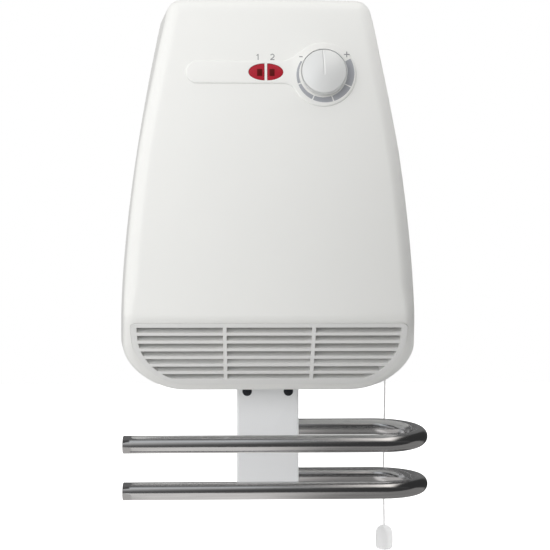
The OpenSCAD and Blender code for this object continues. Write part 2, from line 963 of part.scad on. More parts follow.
module motor_coil() {
    color([0.75, 0.45, 0.25])
        difference() {
            block([stack_x0 - 9, fan_depth - 14.5, fan_z - 58],
                [stack_x1 + 9, fan_depth + 14.5, fan_z - 22.5]);
            block([stack_x0 - gap, fan_depth - 20, fan_z - 48 - gap],
                [stack_x1 + gap, fan_depth + 20, fan_z - 36 + gap]);
        }
}

// A bridge over the rotor with a bearing in its middle; x is its outer face
module motor_bridge(x, toward) {
    x0 = min(x, x + toward * 2);
    foot = toward > 0 ? stack_x0 : stack_x1;
    color(steel)
        difference() {
            union() {
                block([x0, fan_depth - 24, fan_z - 6], [x0 + 2, fan_depth + 24, fan_z + 6]);
                for (d = [fan_depth - 24, fan_depth + 16.5])
                    block([min(x, foot), d, fan_z - 6], [max(x, foot), d + 7.5, fan_z + 6]);
                rod_x(min(x, x + toward * 5), max(x, x + toward * 5), 6, fan_depth, fan_z);
            }
            rod_x(x - 10, x + 10, shaft_r + fit, fan_depth, fan_z);
            for (s = [-1, 1])
                rod_x(-125, -75, 1.5 + fit, fan_depth + s * motor_screw_off, fan_z);
        }
}

module motor_bracket_outer() {
    motor_bridge(-117, 1);
}

module motor_bracket_inner() {
    motor_bridge(-83, -1);
}

module motor_screws() {
    color(steel)
        for (s = [-1, 1])
            translate([-117, -fan_depth - s * motor_screw_off, fan_z])
                rotate([0, -90, 0])
                    screw(1.5, 46, 3, 2);
}

module motor_spacers() {
    color(dark)
        for (s = [-1, 1])
            difference() {
                rod_x(-83, duct_x0, 3, fan_depth + s * motor_screw_off, fan_z);
                rod_x(-84, duct_x0 + 1, 1.5 + fit, fan_depth + s * motor_screw_off, fan_z);
            }
}

// ---- Heating element ----

module element_frame() {
    color([0.8, 0.75, 0.6])
        difference() {
            block([duct_x0 + plate + gap, 36, element_z0], [duct_x1 - gap, 95.5, element_z1]);
            for (d = bar_depths)
                block([bar_x0 - gap, d - 11.4, element_z0 - 1], [bar_x1 + gap, d + 11.4, element_z1 + 1]);
        }
}

// One bar: a flat core with a folded fin on each side
module heating_bar(depth) {
    folds = 20;
    step = (bar_x1 - bar_x0 - 2) / (2 * folds);
    translate([0, -depth, element_z0 + 2])
        linear_extrude(element_z1 - element_z0 - 4) {
            translate([bar_x0, -1.5])
                square([bar_x1 - bar_x0, 3]);
            for (side = [-1, 1])
                polygon(strip([for (i = [0:2 * folds])
                    [bar_x0 + 1 + step * i, side * (i % 2 == 0 ? 0.7 : 10.1)]], side * 0.8));
        }
}

module heating_bar_rear() {
    color([0.75, 0.76, 0.78])
        heating_bar(bar_depths[0]);
}

module heating_bar_front() {
    color([0.75, 0.76, 0.78])
        heating_bar(bar_depths[1]);
}

module thermal_cutout() {
    color(dark)
        union() {
            rod_x(duct_x0 - 8, duct_x0, 8, 90, -92);
            for (z = [-97, -88])
                block([duct_x0 - 15, 86, z], [duct_x0 - 7, 94, z + 0.8]);
        }
}

module thermal_fuse() {
    color(steel)
        union() {
            block([duct_x0 - 1, 34, -122], [duct_x0, 44, -96]);
            translate([duct_x0 - 3, -39, -118])
                cylinder(h = 16, r = 2.4);
        }
}

// ---- Towel rails ----

module towel_rail_bracket() {
    w = bracket_w / 2;
    lip = 16;
    color(white)
        difference() {
            union() {
                block([-w, bracket_depth - sheet, bracket_foot], [w, bracket_depth, plate_top]);
                for (x = [-w, w - sheet])
                    block([x, 0, bracket_foot], [x + sheet, bracket_depth, -casing_drop - 0.6]);
                for (x = [-w, w - lip])
                    block([x, 0, bracket_foot], [x + lip, sheet, tab_top]);
                block([-w, 0, bracket_foot], [w, bracket_depth, bracket_foot + sheet]);
            }
            for (x = [-plug_x, plug_x]) {
                rod_out(x, plug_z, plug_r, bracket_depth - sheet - 1, bracket_depth + 1);
                rod_out(x, plug_z, wall_hole_r, -1, sheet + 1);
                rod_out(x, tab_screw_z, 1.6, -1, sheet + 1);
            }
            for (z = [upper_z, lower_z]) {
                rod_x(w - sheet - 1, w + 1, rail_d / 2 + fit, rail_depth, z);
                // Countersunk hole for the rail's screw
                translate([-w, -rail_depth, z])
                    rotate([0, 90, 0])
                        rotate_extrude()
                            polygon([[0, -1], [3.7, -1], [3.7, 0.2], [2.1, 1.8], [2.1, 3], [0, 3]]);
            }
        }
}

module bracket_plugs() {
    color(dark)
        for (x = [-plug_x, plug_x])
            translate([x, -bracket_depth + sheet + 0.1, plug_z])
                rotate([90, 0, 0])
                    rotate_extrude()
                        polygon([[0, 0], [plug_r - 0.4, 0], [plug_r - fit, 0.6], [plug_r - fit, 2.4],
                            [0, 3]]);
}

module bracket_screws() {
    color(steel)
        for (x = [-plug_x, plug_x])
            translate([x, -5, tab_screw_z])
                rotate([90, 0, 0])
                    screw(1.55, 4.6, 3.4, 2);
}

rail_wall = 1.2;
upper_lean = 2.4;
lower_lean = -2;

// A J of round bar: its two legs start at x0 and x1 and end in the bend
module j_bar(x0, x1, r) {
    rod_x(x0, bend_x, r, 0, 0);
    rod_x(x1, bend_x, r, 2 * rail_bend, 0);
    translate([bend_x, -rail_bend, 0])
        rotate(-90)
            rotate_extrude(angle = 180)
                translate([rail_bend, 0])
                    circle(r = r);
}

// A tube bent to a J and leaned by lean degrees about its leg near the wall
module rail(z, lean) {
    r = rail_d / 2;
    translate([0, -rail_depth, z])
        rotate([lean, 0, 0])
            difference() {
                j_bar(-bracket_w / 2 + sheet + 0.1, -rail_end, r);
                j_bar(-rail_end - 1, -rail_end - 1, r - rail_wall);
            }
}

module upper_rail() {
    color(steel)
        rail(upper_z, upper_lean);
}

module lower_rail() {
    color(steel)
        rail(lower_z, lower_lean);
}

module rail_end_caps() {
    color(dark)
        for (k = [[upper_z, upper_lean], [lower_z, lower_lean]])
            translate([0, -rail_depth, k[0]])
                rotate([k[1], 0, 0])
                    translate([-rail_end + 0.2, -2 * rail_bend, 0])
                        rotate([0, 90, 0])
                            cylinder(h = 8, r = rail_d / 2 - rail_wall - fit);
}

module rail_inserts() {
    x0 = -bracket_w / 2 + sheet + 0.1;
    color(steel)
        for (z = [upper_z, lower_z])
            difference() {
                rod_x(x0, x0 + 16, rail_d / 2 - rail_wall - fit, rail_depth, z);
                rod_x(x0 - 1, x0 + 17, 2 + fit, rail_depth, z);
            }
}

// Countersunk screws, flush with the bracket's side
module rail_screws() {
    color(steel)
        for (z = [upper_z, lower_z])
            translate([-bracket_w / 2, -rail_depth, z])
                rotate([0, 90, 0])
                    difference() {
                        rotate_extrude()
                            polygon([[0, 0.05], [3.6, 0.05], [3.6, 0.2], [2, 1.7], [2, 14], [0, 14]]);
                        for (a = [0, 90])
                            rotate(a)
                                translate([-2, -0.4, -1])
                                    cube([4, 0.8, 2]);
                    }
}

rear_housing();
front_cover();
outlet_grille();
inlet_grille();
lens_left();
lens_right();
lamp_left();
lamp_right();
lamp_holder();
thermostat_knob();
thermostat_spindle();
thermostat_body();
thermostat_nut();
control_bracket();
control_screws();
terminal_block();
cable_grommet();
pull_switch_body();
switch_plunger();
plunger_spring();
switch_screws();
cord_guide();
pull_cord();
cord_pull();
fan_scroll();
fan_tongue();
duct_side_left();
duct_side_right();
fan_impeller();
impeller_hub();
fan_stub_shaft();
bearing_bush();
bearing_mount();
motor_shaft();
motor_rotor();
motor_stator();
motor_coil();
motor_bracket_inner();
motor_bracket_outer();
motor_screws();
motor_spacers();
element_frame();
heating_bar_rear();
heating_bar_front();
thermal_cutout();
thermal_fuse();
towel_rail_bracket();
upper_rail();
lower_rail();
rail_end_caps();
rail_inserts();
rail_screws();
bracket_plugs();
bracket_screws();
case_screws();
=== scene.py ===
# %% [markdown]
# # A bathroom wall fan heater with towel rails
# The object is a white down-flow heater: a tapered casing with a slotted outlet
# under a lip, a control strip with two signal lenses and a thermostat knob, a pull
# cord, and a folded bracket with two bent steel rails. The CAD model is the fixed
# frame of this scene. It gives every place and size, and each cell below dresses
# one part of it.

import math

import bmesh
import bpy
import numpy as np
from mathutils import Matrix, Vector


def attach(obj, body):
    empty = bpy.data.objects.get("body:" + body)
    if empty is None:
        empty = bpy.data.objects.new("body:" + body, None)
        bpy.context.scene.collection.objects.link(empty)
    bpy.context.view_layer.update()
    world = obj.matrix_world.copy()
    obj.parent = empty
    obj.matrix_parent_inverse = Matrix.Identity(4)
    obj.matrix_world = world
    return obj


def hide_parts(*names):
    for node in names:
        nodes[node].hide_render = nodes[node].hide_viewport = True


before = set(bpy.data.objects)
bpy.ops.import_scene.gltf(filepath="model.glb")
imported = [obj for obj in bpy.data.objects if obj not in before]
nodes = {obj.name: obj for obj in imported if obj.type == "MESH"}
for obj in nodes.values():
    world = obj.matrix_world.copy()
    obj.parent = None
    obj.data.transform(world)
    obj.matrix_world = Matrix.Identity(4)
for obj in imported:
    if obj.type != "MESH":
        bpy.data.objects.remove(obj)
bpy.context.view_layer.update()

# %% [markdown]
# The camera comes first. The photograph is square and was taken level, about a
# metre from the wall, a little to the left of the heater and below its middle. A
# lens that is long for the frame keeps the sides almost parallel.

# %% Camera
LENS, CAMERA_PLACE, CAMERA_TURN = 64.45, (-0.019, -1.0, -0.0735), math.radians(-1.56)
camera_data = bpy.data.cameras.new("camera")
camera_data.sensor_width = 36
camera_data.lens = LENS
camera = bpy.data.objects.new("camera", camera_data)
bpy.context.scene.collection.objects.link(camera)
camera.location = CAMERA_PLACE
camera.rotation_euler = (math.pi / 2, 0, CAMERA_TURN)
bpy.context.scene.camera = camera
print("camera", tuple(round(v, 3) for v in camera.location))

# %% [markdown]
# The meshes are drawn in millimetres, as the CAD is, and shrink to metres when
# they are done. `piece` makes an object from points and faces, `settle` turns its
# modifiers into plain geometry, and `hand_over` gives it its size, material and
# body, and hides the CAD nodes that it stands for.

# %% Helpers for meshes
MM = 0.001
link = bpy.context.scene.collection.objects.link


def piece(name, points, faces):
    mesh = bpy.data.meshes.new(name)
    mesh.from_pydata([tuple(map(float, p)) for p in points], [], [tuple(map(int, f)) for f in faces])
    made = bpy.data.objects.new(name, mesh)
    link(made)
    return made


def settle(made):
    """Turns the modifiers of an object into plain geometry."""
    bpy.context.view_layer.update()
    seen = made.evaluated_get(bpy.context.evaluated_depsgraph_get())
    mesh = bpy.data.meshes.new_from_object(seen)
    made.modifiers.clear()
    made.data = mesh
    mesh.name = made.name
    return made


def tidy(made, merge=0.002):
    """Closes seams and poles, drops faces without an area and turns the normals out."""
    work = bmesh.new()
    work.from_mesh(made.data)
    bmesh.ops.remove_doubles(work, verts=work.verts, dist=merge)
    bmesh.ops.dissolve_degenerate(work, dist=merge / 2, edges=work.edges)
    bmesh.ops.recalc_face_normals(work, faces=work.faces)
    work.to_mesh(made.data)
    work.free()
    return made


# %% Helpers to finish a piece
def soften(made, width):
    """A small bevel on every edge sharper than 40 degrees."""
    edge = made.modifiers.new("edge", "BEVEL")
    edge.width = width
    edge.segments = 2
    edge.limit_method = "ANGLE"
    edge.angle_limit = math.radians(40)
    return settle(made)


def hand_over(made, material, body="root", stands_for=(), sharp=32):
    """Gives a finished piece its real size, look and body, and hides the CAD nodes that it replaces."""
    made.data.transform(Matrix.Scale(MM, 4))
    made.data.shade_smooth()
    made.data.set_sharp_from_angle(angle=math.radians(sharp))
    made.data.materials.clear()
    made.data.materials.append(material)
    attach(made, body)
    if stands_for:
        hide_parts(*stands_for)
    print(made.name, len(made.data.polygons), "faces")
    return made


# %% [markdown]
# Two more helpers cover most shapes: a `prism` is an outline pushed along the z of
# a local frame, and a `lathe` is a profile turned about that z. The local frame is
# a matrix, so the same outline can be drawn on the sloping front, on the outlet
# panel or on the top.

# %% Prisms and lathes
def ring_faces(n, rows):
    """The side faces between rows of n points each, row upon row."""
    return [(row * n + i, row * n + (i + 1) % n, (row + 1) * n + (i + 1) % n, (row + 1) * n + i)
            for row in range(rows - 1) for i in range(n)]


def stack_faces(n, rows):
    """The side faces, the bottom and the top of a stack of rows of n points."""
    return [range(n - 1, -1, -1), range((rows - 1) * n, rows * n)] + ring_faces(n, rows)


def prism(name, outline, low, high, place=Matrix.Identity(4)):
    points = [place @ Vector((x, y, z)) for z in (low, high) for x, y in outline]
    return tidy(piece(name, points, stack_faces(len(outline), 2)))


def lathe(name, profile, place, sides, swell=lambda turn, z: 1):
    """A profile of (radius, z) pairs turned about z; swell is a factor on its radius."""
    points = []
    for r, z in profile:
        for turn in (2 * math.pi * k / sides for k in range(sides)):
            wide = r * swell(turn, z)
            points.append(place @ Vector((wide * math.cos(turn), wide * math.sin(turn), z)))
    return tidy(piece(name, points, ring_faces(sides, len(profile))), 0.0005)


def disc(r, x=0, y=0, sides=48):
    return [(x + r * math.cos(2 * math.pi * k / sides), y + r * math.sin(2 * math.pi * k / sides))
            for k in range(sides)]


def box(x0, x1, y0, y1):
    return [(x0, y0), (x1, y0), (x1, y1), (x0, y1)]


# %% Cuts
def cut(made, tools, operation="DIFFERENCE"):
    """Cuts all the tools out of a piece at once, or joins them to it, and removes them."""
    bench = bpy.data.collections.new("bench")
    bpy.context.scene.collection.children.link(bench)
    for tool in tools:
        bpy.context.scene.collection.objects.unlink(tool)
        bench.objects.link(tool)
    saw = made.modifiers.new("saw", "BOOLEAN")
    saw.operation = operation
    saw.solver = "EXACT"
    saw.operand_type = "COLLECTION"
    saw.collection = bench
    settle(made)
    for tool in tools:
        bpy.data.objects.remove(tool)
    bpy.data.collections.remove(bench)
    return made


# %% [markdown]
# ## The casing's form
# A moulded casing has no flat wall: each side leans and bows a little, and every
# edge is rounded by its own radius. A box with bevels would look like a box. Here
# each wall is a formula that is negative inside the casing and positive outside,
# and `rounded` joins two walls with a fillet. Rays from the middle then find where
# the joined formula is zero, which gives a smooth mesh with its rows close
# together where the form turns.

# %% Sizes of the casing
HALF_W, TOP, DROP, SPLIT, WALL = 144.3, 186.0, 182.0, 24.0, 2.5
# From its widest height up, each side draws in by SIDE_DRAW over SIDE_RUN, bowed by a power
SIDE_WIDEST, SIDE_DRAW, SIDE_RUN, SIDE_BOW = -115, 36.8, 281, 1.6
LIP_DEPTH, LIP_Z, FACE_DRAW, FACE_RUN, FACE_BOW = 128, -113, 30, 294, 1.3
# Towards the front the casing narrows, a little more above DRAFT_Z
DRAFT, MORE_DRAFT, DRAFT_Z = 0.147, 0.00035, 40
CORNER_X, CORNER_Z, CORNER_POWER = 85.0, -136.5, 1.8
PANEL_TILT = math.radians(40.24)
PANEL_DEPTH, PANEL_Z = 125.0, -116.0
PANEL_REACH = PANEL_DEPTH * math.cos(PANEL_TILT) - PANEL_Z * math.sin(PANEL_TILT)
TOP_EDGE_Z, TOP_EDGE_R, TOP_HALF, TOP_CROWN = 170.6, 11.0, 88.7, 0.8
EDGE_HEIGHTS, EDGE_RADII = [-136, -100, -85, 128, 164], [8.8, 9, 12, 12, TOP_EDGE_R]
FOOT_EDGE_R, PANEL_EDGE_R = 1.9, 2.2


def side_w(z):
    return HALF_W - SIDE_DRAW * (np.maximum(z - SIDE_WIDEST, 0) / SIDE_RUN) ** SIDE_BOW


def face_depth(z):
    return LIP_DEPTH - FACE_DRAW * (np.maximum(z - LIP_Z, 0) / FACE_RUN) ** FACE_BOW


TOP_RUN = float(face_depth(TOP_EDGE_Z)) - TOP_EDGE_R - SPLIT - 1
TOP_SLOPE = math.atan((TOP - TOP_EDGE_Z - TOP_EDGE_R) / TOP_RUN)


# %% The casing's formula
def rounded(a, b, r):
    """Two walls joined with a fillet of radius r."""
    corner = np.hypot(np.maximum(a + r, 0), np.maximum(b + r, 0)) - r
    return np.where((a > -r) & (b > -r), corner, np.maximum(a, b))


def casing(x, depth, z):
    """Below zero inside the casing's outer skin, and about the distance to it."""
    wide = np.abs(x) + (DRAFT + MORE_DRAFT * np.maximum(z - DRAFT_Z, 0)) * (depth - SPLIT)
    a = np.maximum(wide - CORNER_X, 0) / (HALF_W - CORNER_X)
    b = np.maximum(CORNER_Z - z, 0) / (CORNER_Z + DROP)
    down = (b * b + 1e-9) / (a * a + b * b + 1e-9)
    size = (HALF_W - CORNER_X) * (1 - down) + (CORNER_Z + DROP) * down
    foot = ((a ** CORNER_POWER + b ** CORNER_POWER) ** (1 / CORNER_POWER) - 1) * size
    outline = np.where(z > CORNER_Z, wide - side_w(z), foot)
    edge = np.interp(z, EDGE_HEIGHTS, EDGE_RADII)
    edge = edge + (FOOT_EDGE_R - edge) * np.where(z > CORNER_Z, 0, down)
    panel = depth * math.cos(PANEL_TILT) - z * math.sin(PANEL_TILT) - PANEL_REACH
    front = rounded(depth - face_depth(z), panel, PANEL_EDGE_R)
    roof = z - TOP + TOP_CROWN * (x / TOP_HALF) ** 2 + math.tan(TOP_SLOPE) * np.maximum(depth - SPLIT - 1, 0)
    return rounded(rounded(front, outline, edge), roof, TOP_EDGE_R)


print("outlet panel leans", round(math.degrees(PANEL_TILT), 1), "degrees")

# %% [markdown]
# The rays start on the heater's middle line and run out to the rim, then tilt up
# from the rim to the front. The rows are spread by how far the surface runs and by
# how much it turns.

# %% Points round the rim
TOP_BEND_X, TOP_BEND_Z = 94.5, 174.2


def round_foot(x, y, reach, drop, turns):
    """The casing's lower right corner, a little fuller than an ellipse, about x, y."""
    return [(x + reach * math.cos(a) ** (2 / CORNER_POWER), y - drop * math.sin(a) ** (2 / CORNER_POWER))
            for a in np.radians(turns)]


def rim_targets():
    """Points round the right half of the rim, from the top to the bottom."""
    top = [(x, TOP) for x in np.linspace(0, 92, 16)]
    bend = [(TOP_BEND_X + TOP_EDGE_R * math.cos(a), TOP_BEND_Z + TOP_EDGE_R * math.sin(a))
            for a in np.radians(np.arange(86, 8, -7))]
    side = [(side_w(z), z) for z in np.linspace(171, -130, 54)]
    foot = round_foot(CORNER_X, CORNER_Z, HALF_W - CORNER_X, CORNER_Z + DROP, np.arange(0, 90, 4.5))
    under = [(x, -DROP) for x in np.linspace(84, 0, 13)]
    return np.array(top + bend + side + foot + under)


# %% Rays to the casing's skin
SPINE_LOW, SPINE_HIGH = -100, 95
FARTHEST, HALVINGS, FINE_STEPS = 420.0, 42, 240
ROW_MM, ROW_DEGREES = 5, 7


def skin(rows, level):
    """Points on the right half of the skin where the casing formula has that level."""
    ends = rim_targets()
    start = np.clip(ends[:, 1], SPINE_LOW, SPINE_HIGH)
    way = np.stack([ends[:, 0], ends[:, 1] - start], 1)
    way[:, 0] = np.maximum(way[:, 0], 1e-9)
    way /= np.linalg.norm(way, axis=1)[:, None]

    def shoot(tilt):
        near, far = np.zeros(tilt.shape), np.full(tilt.shape, FARTHEST)
        for _ in range(HALVINGS):
            reach = (near + far) / 2
            flat, depth = reach * np.cos(tilt), SPLIT + reach * np.sin(tilt)
            inside = casing(flat * way[:, :1], depth, start[:, None] + flat * way[:, 1:]) < level
            near, far = np.where(inside, reach, near), np.where(inside, far, reach)
        flat, depth = near * np.cos(tilt), SPLIT + near * np.sin(tilt)
        return np.stack([flat * way[:, :1], -depth, start[:, None] + flat * way[:, 1:]], 2)

    fine = np.tile(np.linspace(0, math.pi / 2, FINE_STEPS), (len(ends), 1))
    points = shoot(fine)
    steps = np.diff(points, axis=1)
    length = np.linalg.norm(steps, axis=2)
    turn = np.zeros(length.shape)
    cosine = (steps[:, 1:] * steps[:, :-1]).sum(2) / (length[:, 1:] * length[:, :-1])
    turn[:, 1:] = np.degrees(np.arccos(np.clip(cosine, -1, 1)))
    spread = np.cumsum(length / ROW_MM + turn / ROW_DEGREES, axis=1)
    spread = np.concatenate([np.zeros((len(ends), 1)), spread / spread[:, -1:]], 1)
    wanted = np.linspace(0, 1, rows)
    tilt = np.array([np.interp(wanted, spread[i], fine[i]) for i in range(len(ends))])
    tilt[:, 0], tilt[:, -1] = 0, math.pi / 2
    return shoot(tilt)


def both_halves(half):
    """The right half and its mirror image, as one ring round the casing."""
    left = half[-2:0:-1] * np.array([-1, 1, 1])
    return np.concatenate([half, left])


outer = both_halves(skin(58, 0))
inner = both_halves(skin(22, -WALL))
print("skin", outer.shape, "deepest", round(-outer[..., 1].min(), 2), "mm")

# %% [markdown]
# The outer and the inner skin meet at the rim that sits on the rear housing. The
# result is a closed shell with a wall of even thickness.

# %% The cover's shell
def shell(name, out, ins):
    """One stack of rows: down the inner skin to the rim, and back up the outer skin."""
    rows = np.concatenate([ins[:, ::-1], out], 1).transpose(1, 0, 2)
    return tidy(piece(name, rows.reshape(-1, 3), ring_faces(len(out), len(rows))), 0.01)


cover = shell("front_cover_skin", outer, inner)

# %% [markdown]
# ## Local frames
# The controls sit on the sloping front, the outlet on its panel and the inlet on
# the top. `face_point` puts a point of a drawing on the curved front itself, at a
# height over it, so that strips and printed marks follow the casing exactly.

# %% Frames on the casing
KNOB_X, KNOB_Z, LENS_X = 49.3, 108.6, -3.0
FACE_TILT = math.radians(7)


def on_face(x, z):
    shift = Matrix.Translation((x, -float(face_depth(z)), z))
    return shift @ Matrix.Rotation(math.pi / 2 - FACE_TILT, 4, "X")


on_panel = Matrix.Translation((0, -PANEL_DEPTH, PANEL_Z)) @ Matrix.Rotation(math.pi / 2 + PANEL_TILT, 4, "X")
on_top = Matrix.Translation((0, -SPLIT - 1, TOP)) @ Matrix.Rotation(TOP_SLOPE, 4, "X")


def face_point(x, y, height):
    """A point x, y from the knob's axis on the front, lifted by height."""
    z = KNOB_Z + y * math.cos(FACE_TILT)
    slope = float(face_depth(z - 0.5) - face_depth(z + 0.5))
    normal = Vector((0, -1, slope)).normalized()
    return Vector((KNOB_X + x, -float(face_depth(z)), z)) + normal * height


# %% [markdown]
# ## The control strip
# The strip is a low pad, moulded with the cover, that runs from a round left end
# past the lenses and opens into a ring for the knob. Its outline is made of arcs
# and two S-curves, and its edge rises in a soft quarter round.

# %% Outline of the control strip
STRIP_Y, STRIP_HALF, STRIP_RING, STRIP_RISE, STRIP_EDGE = 1.8, 10.75, 30.0, 1.2, 1.7
STRIP_LEFT, STRIP_NECK = -75.7 - KNOB_X + STRIP_HALF, -39
RING_JOIN, RING_LEAVE = 207, 127


def arc(x, y, r, start, end, steps):
    return [(x + r * math.cos(a), y + r * math.sin(a))
            for a in np.radians(np.linspace(start, end, steps + 1))]


def s_curve(a, way_a, b, way_b, pull, steps=10):
    """A smooth curve from a to b that leaves and arrives along the two ways, without its ends."""
    p = [np.array(a), np.array(a) + pull * np.array(way_a), np.array(b) - pull * np.array(way_b), np.array(b)]
    return [tuple((1 - t) ** 3 * p[0] + 3 * t * (1 - t) ** 2 * p[1] + 3 * t * t * (1 - t) * p[2] + t ** 3 * p[3])
            for t in np.linspace(0, 1, steps + 1)[1:-1]]


def strip_outline():
    top, low = STRIP_Y + STRIP_HALF, STRIP_Y - STRIP_HALF
    ring = arc(0, 0, STRIP_RING, RING_JOIN, 360 + RING_LEAVE, 70)
    join, leave = math.radians(RING_JOIN), math.radians(RING_LEAVE)
    left = arc(STRIP_LEFT, STRIP_Y, STRIP_HALF, 90, 270, 28)
    under = s_curve((STRIP_NECK, low), (1, 0), ring[0], (-math.sin(join), math.cos(join)), 5)
    over = s_curve(ring[-1], (-math.sin(leave), math.cos(leave)), (STRIP_NECK, top), (-1, 0), 9)
    return left + [(STRIP_NECK, low)] + under + ring + over + [(STRIP_NECK, top)]


# %% The strip as a pad on the front
def inset(outline, amount):
    """The outline drawn in, each point along the mean normal of its two sides."""
    if not amount:
        return outline
    p = np.array(outline)
    ahead, behind = np.roll(p, -1, 0) - p, p - np.roll(p, 1, 0)
    way = ahead / np.linalg.norm(ahead, axis=1)[:, None] + behind / np.linalg.norm(behind, axis=1)[:, None]
    way /= np.linalg.norm(way, axis=1)[:, None]
    return [tuple(q) for q in p + amount * np.stack([-way[:, 1], way[:, 0]], 1)]


def pads(name, plans):
    """Pads on the front; a plan is an outline and the rings of its edge as (inset, height) pairs."""
    points, faces = [], []
    for outline, rings in plans:
        faces += [tuple(i + len(points) for i in face) for face in stack_faces(len(outline), len(rings))]
        points += [face_point(x, y, h) for draw_in, h in rings for x, y in inset(outline, draw_in)]
    return tidy(piece(name, points, faces))


quarter = [(STRIP_EDGE * (1 - math.cos(a)), STRIP_RISE * math.sin(a)) for a in np.radians([0, 15, 32, 50, 70, 90])]
strip = pads("strip_pad", [(strip_outline(), [(0, -1.0)] + quarter)])
print("strip", round(-STRIP_LEFT + STRIP_HALF + STRIP_RING, 1), "mm long")

# %% [markdown]
# ## Openings in the cover
# The grille, the lenses, the knob's spindle, the air inlet and the screws all
# need holes. Each hole is a tool that is cut out of the shell, as a mould's cores
# would leave it. The strip is joined first, so the lens holes go through both.

# %% Outlines of the grille and the lenses
SLOT_REACH, SLOT_CORE, SLOT_TURN, SLOT_FOOT, RIM = 118.5, 80.0, 22.0, 73.0, 5.5
HEAD_Y, HEAD_R = -6.5, 6.0
LENS_GAP, LENS_REACH, LENS_HALF = 1.25, 15.8, 7.8


def mirrored(half):
    return half + [(-x, y) for x, y in half[::-1]]


def slot_foot(more):
    """The round foot of the slots, wider by more; y runs up the panel."""
    reach, drop = SLOT_REACH - SLOT_CORE + more, SLOT_FOOT - SLOT_TURN + more
    return round_foot(SLOT_CORE, -SLOT_TURN, reach, drop, np.arange(90, -1, -3.75))


def grille_outline(e):
    """Outline of the grille's frame, drawn in by e."""
    return mirrored(slot_foot(RIM - e) + arc(SLOT_REACH + RIM - HEAD_R, HEAD_Y, HEAD_R - e, 0, 90, 6))


def facing(side, outline):
    """An outline drawn for the right side, or its mirror image for the left."""
    return outline if side > 0 else [(-x, y) for x, y in outline[::-1]]


def lens_outline(side, e):
    """Half an oval beside the gap between the lenses, let out by e."""
    start, reach, half = LENS_GAP - e / 2, LENS_REACH - LENS_GAP + e, LENS_HALF + e
    return facing(side, [(start + reach * math.cos(a), half * math.sin(a))
                         for a in np.radians(np.arange(-90, 91, 5))])


# %% Cut the cover
cut(cover, [strip], "UNION")
at_lens, at_knob = on_face(LENS_X, KNOB_Z + STRIP_Y), on_face(KNOB_X, KNOB_Z)
LENS_FIT, SPINDLE_HOLE_R = 0.25, 7.5
INLET_HALF, INLET_FRONT, INLET_BACK = 72.0, -49.0, -6.0
SCREW_X, SCREW_DEPTH, SCREW_HOLE_R, SCREW_HEAD_R = 82.0, 33.0, 1.8, 3.6
BRACKET_SLOT = box(-30.3, 30.3, -46.2, -42.7)
tools = [
    prism("recess", grille_outline(-0.3), -1.5, 8, on_panel),
    prism("outlet", grille_outline(3), -8, 2, on_panel),
    prism("spindle_hole", disc(SPINDLE_HOLE_R), -8, 8, at_knob),
    prism("inlet", box(-INLET_HALF, INLET_HALF, INLET_FRONT, INLET_BACK), -8, 4, on_top),
    prism("bracket_slot", BRACKET_SLOT, -DROP - 1, -DROP + 3),
]
for side in (-1, 1):
    hole = disc(SCREW_HOLE_R, side * SCREW_X, -SCREW_DEPTH, 24)
    tools += [
        prism("lens_hole", lens_outline(side, LENS_FIT), -8, 4, at_lens),
        prism("low_hole", hole, -DROP - 5, -DROP + 7),
        prism("high_hole", hole, TOP - 10, TOP - 2.3),
        prism("counterbore", disc(SCREW_HEAD_R, side * SCREW_X, -SCREW_DEPTH, 32), TOP - 2.6, TOP + 2),
    ]
cut(cover, tools)
print("cover", len(cover.data.polygons), "faces after the cuts")

# %% [markdown]
# ## Materials
# A surface that looks plain is never one colour. Two shader groups carry the
# common effects: `moulded_skin` gives paint and plastic a slow drift of tone, a
# change of gloss and a fine grain, and `drawn_metal` gives metal streaks that run
# along one direction. Each material then has its own values for them.

# %% Helpers for nodes
def add(tree, kind, settings=None, **inputs):
    """A node with its properties and inputs. An input is named, or numbered as in i0, and
    is a value, a socket to link or a list of sockets."""
    node = tree.nodes.new(kind)
    for label, value in (settings or {}).items():
        setattr(node, label, value)
    for label, value in inputs.items():
        socket = node.inputs[int(label[1:]) if label[1:].isdigit() else label.replace("_", " ")]
        if isinstance(value, (bpy.types.NodeSocket, list)):
            for source in value if isinstance(value, list) else [value]:
                tree.links.new(source, socket)
        else:
            socket.default_value = value
    return node


def new_group(name, kind, inputs, outputs):
    """A node tree with named inputs and outputs, its given sockets and its last node."""
    group = bpy.data.node_groups.new(name, kind)
    for label, socket_kind, value in inputs:
        socket = group.interface.new_socket(label, in_out="INPUT", socket_type=socket_kind)
        if value is not None:
            socket.default_value = value
    for label, socket_kind in outputs:
        group.interface.new_socket(label, in_out="OUTPUT", socket_type=socket_kind)
    return group, group.nodes.new("NodeGroupInput").outputs, group.nodes.new("NodeGroupOutput")


def shader_group(name, inputs):
    return new_group(name, "ShaderNodeTree", inputs, [("Colour", COLOUR), ("Roughness", FLOAT), ("Height", FLOAT)])


# %% Small nodes
def math_node(tree, operation, a, b=0.0, clamp=False):
    return add(tree, "ShaderNodeMath", {"operation": operation, "use_clamp": clamp}, i0=a, i1=b).outputs[0]


def noise(tree, vector, scale, detail=2.0, rough=0.5):
    made = add(tree, "ShaderNodeTexNoise", Vector=vector, Scale=scale, Detail=detail, Roughness=rough)
    return made.outputs["Fac"]


def tinted(tree, colour, amount):
    """The colour times the amount, channel by channel."""
    return add(tree, "ShaderNodeVectorMath", {"operation": "SCALE"}, i0=colour, Scale=amount).outputs[0]


def about_middle(tree, value, spread):
    """How far a noise value is from its mean, times the spread."""
    return math_node(tree, "MULTIPLY", math_node(tree, "SUBTRACT", value, 0.5), spread)


# %% The moulded group
FLOAT, COLOUR, VECTOR = "NodeSocketFloat", "NodeSocketColor", "NodeSocketVector"
GEOMETRY = "NodeSocketGeometry"


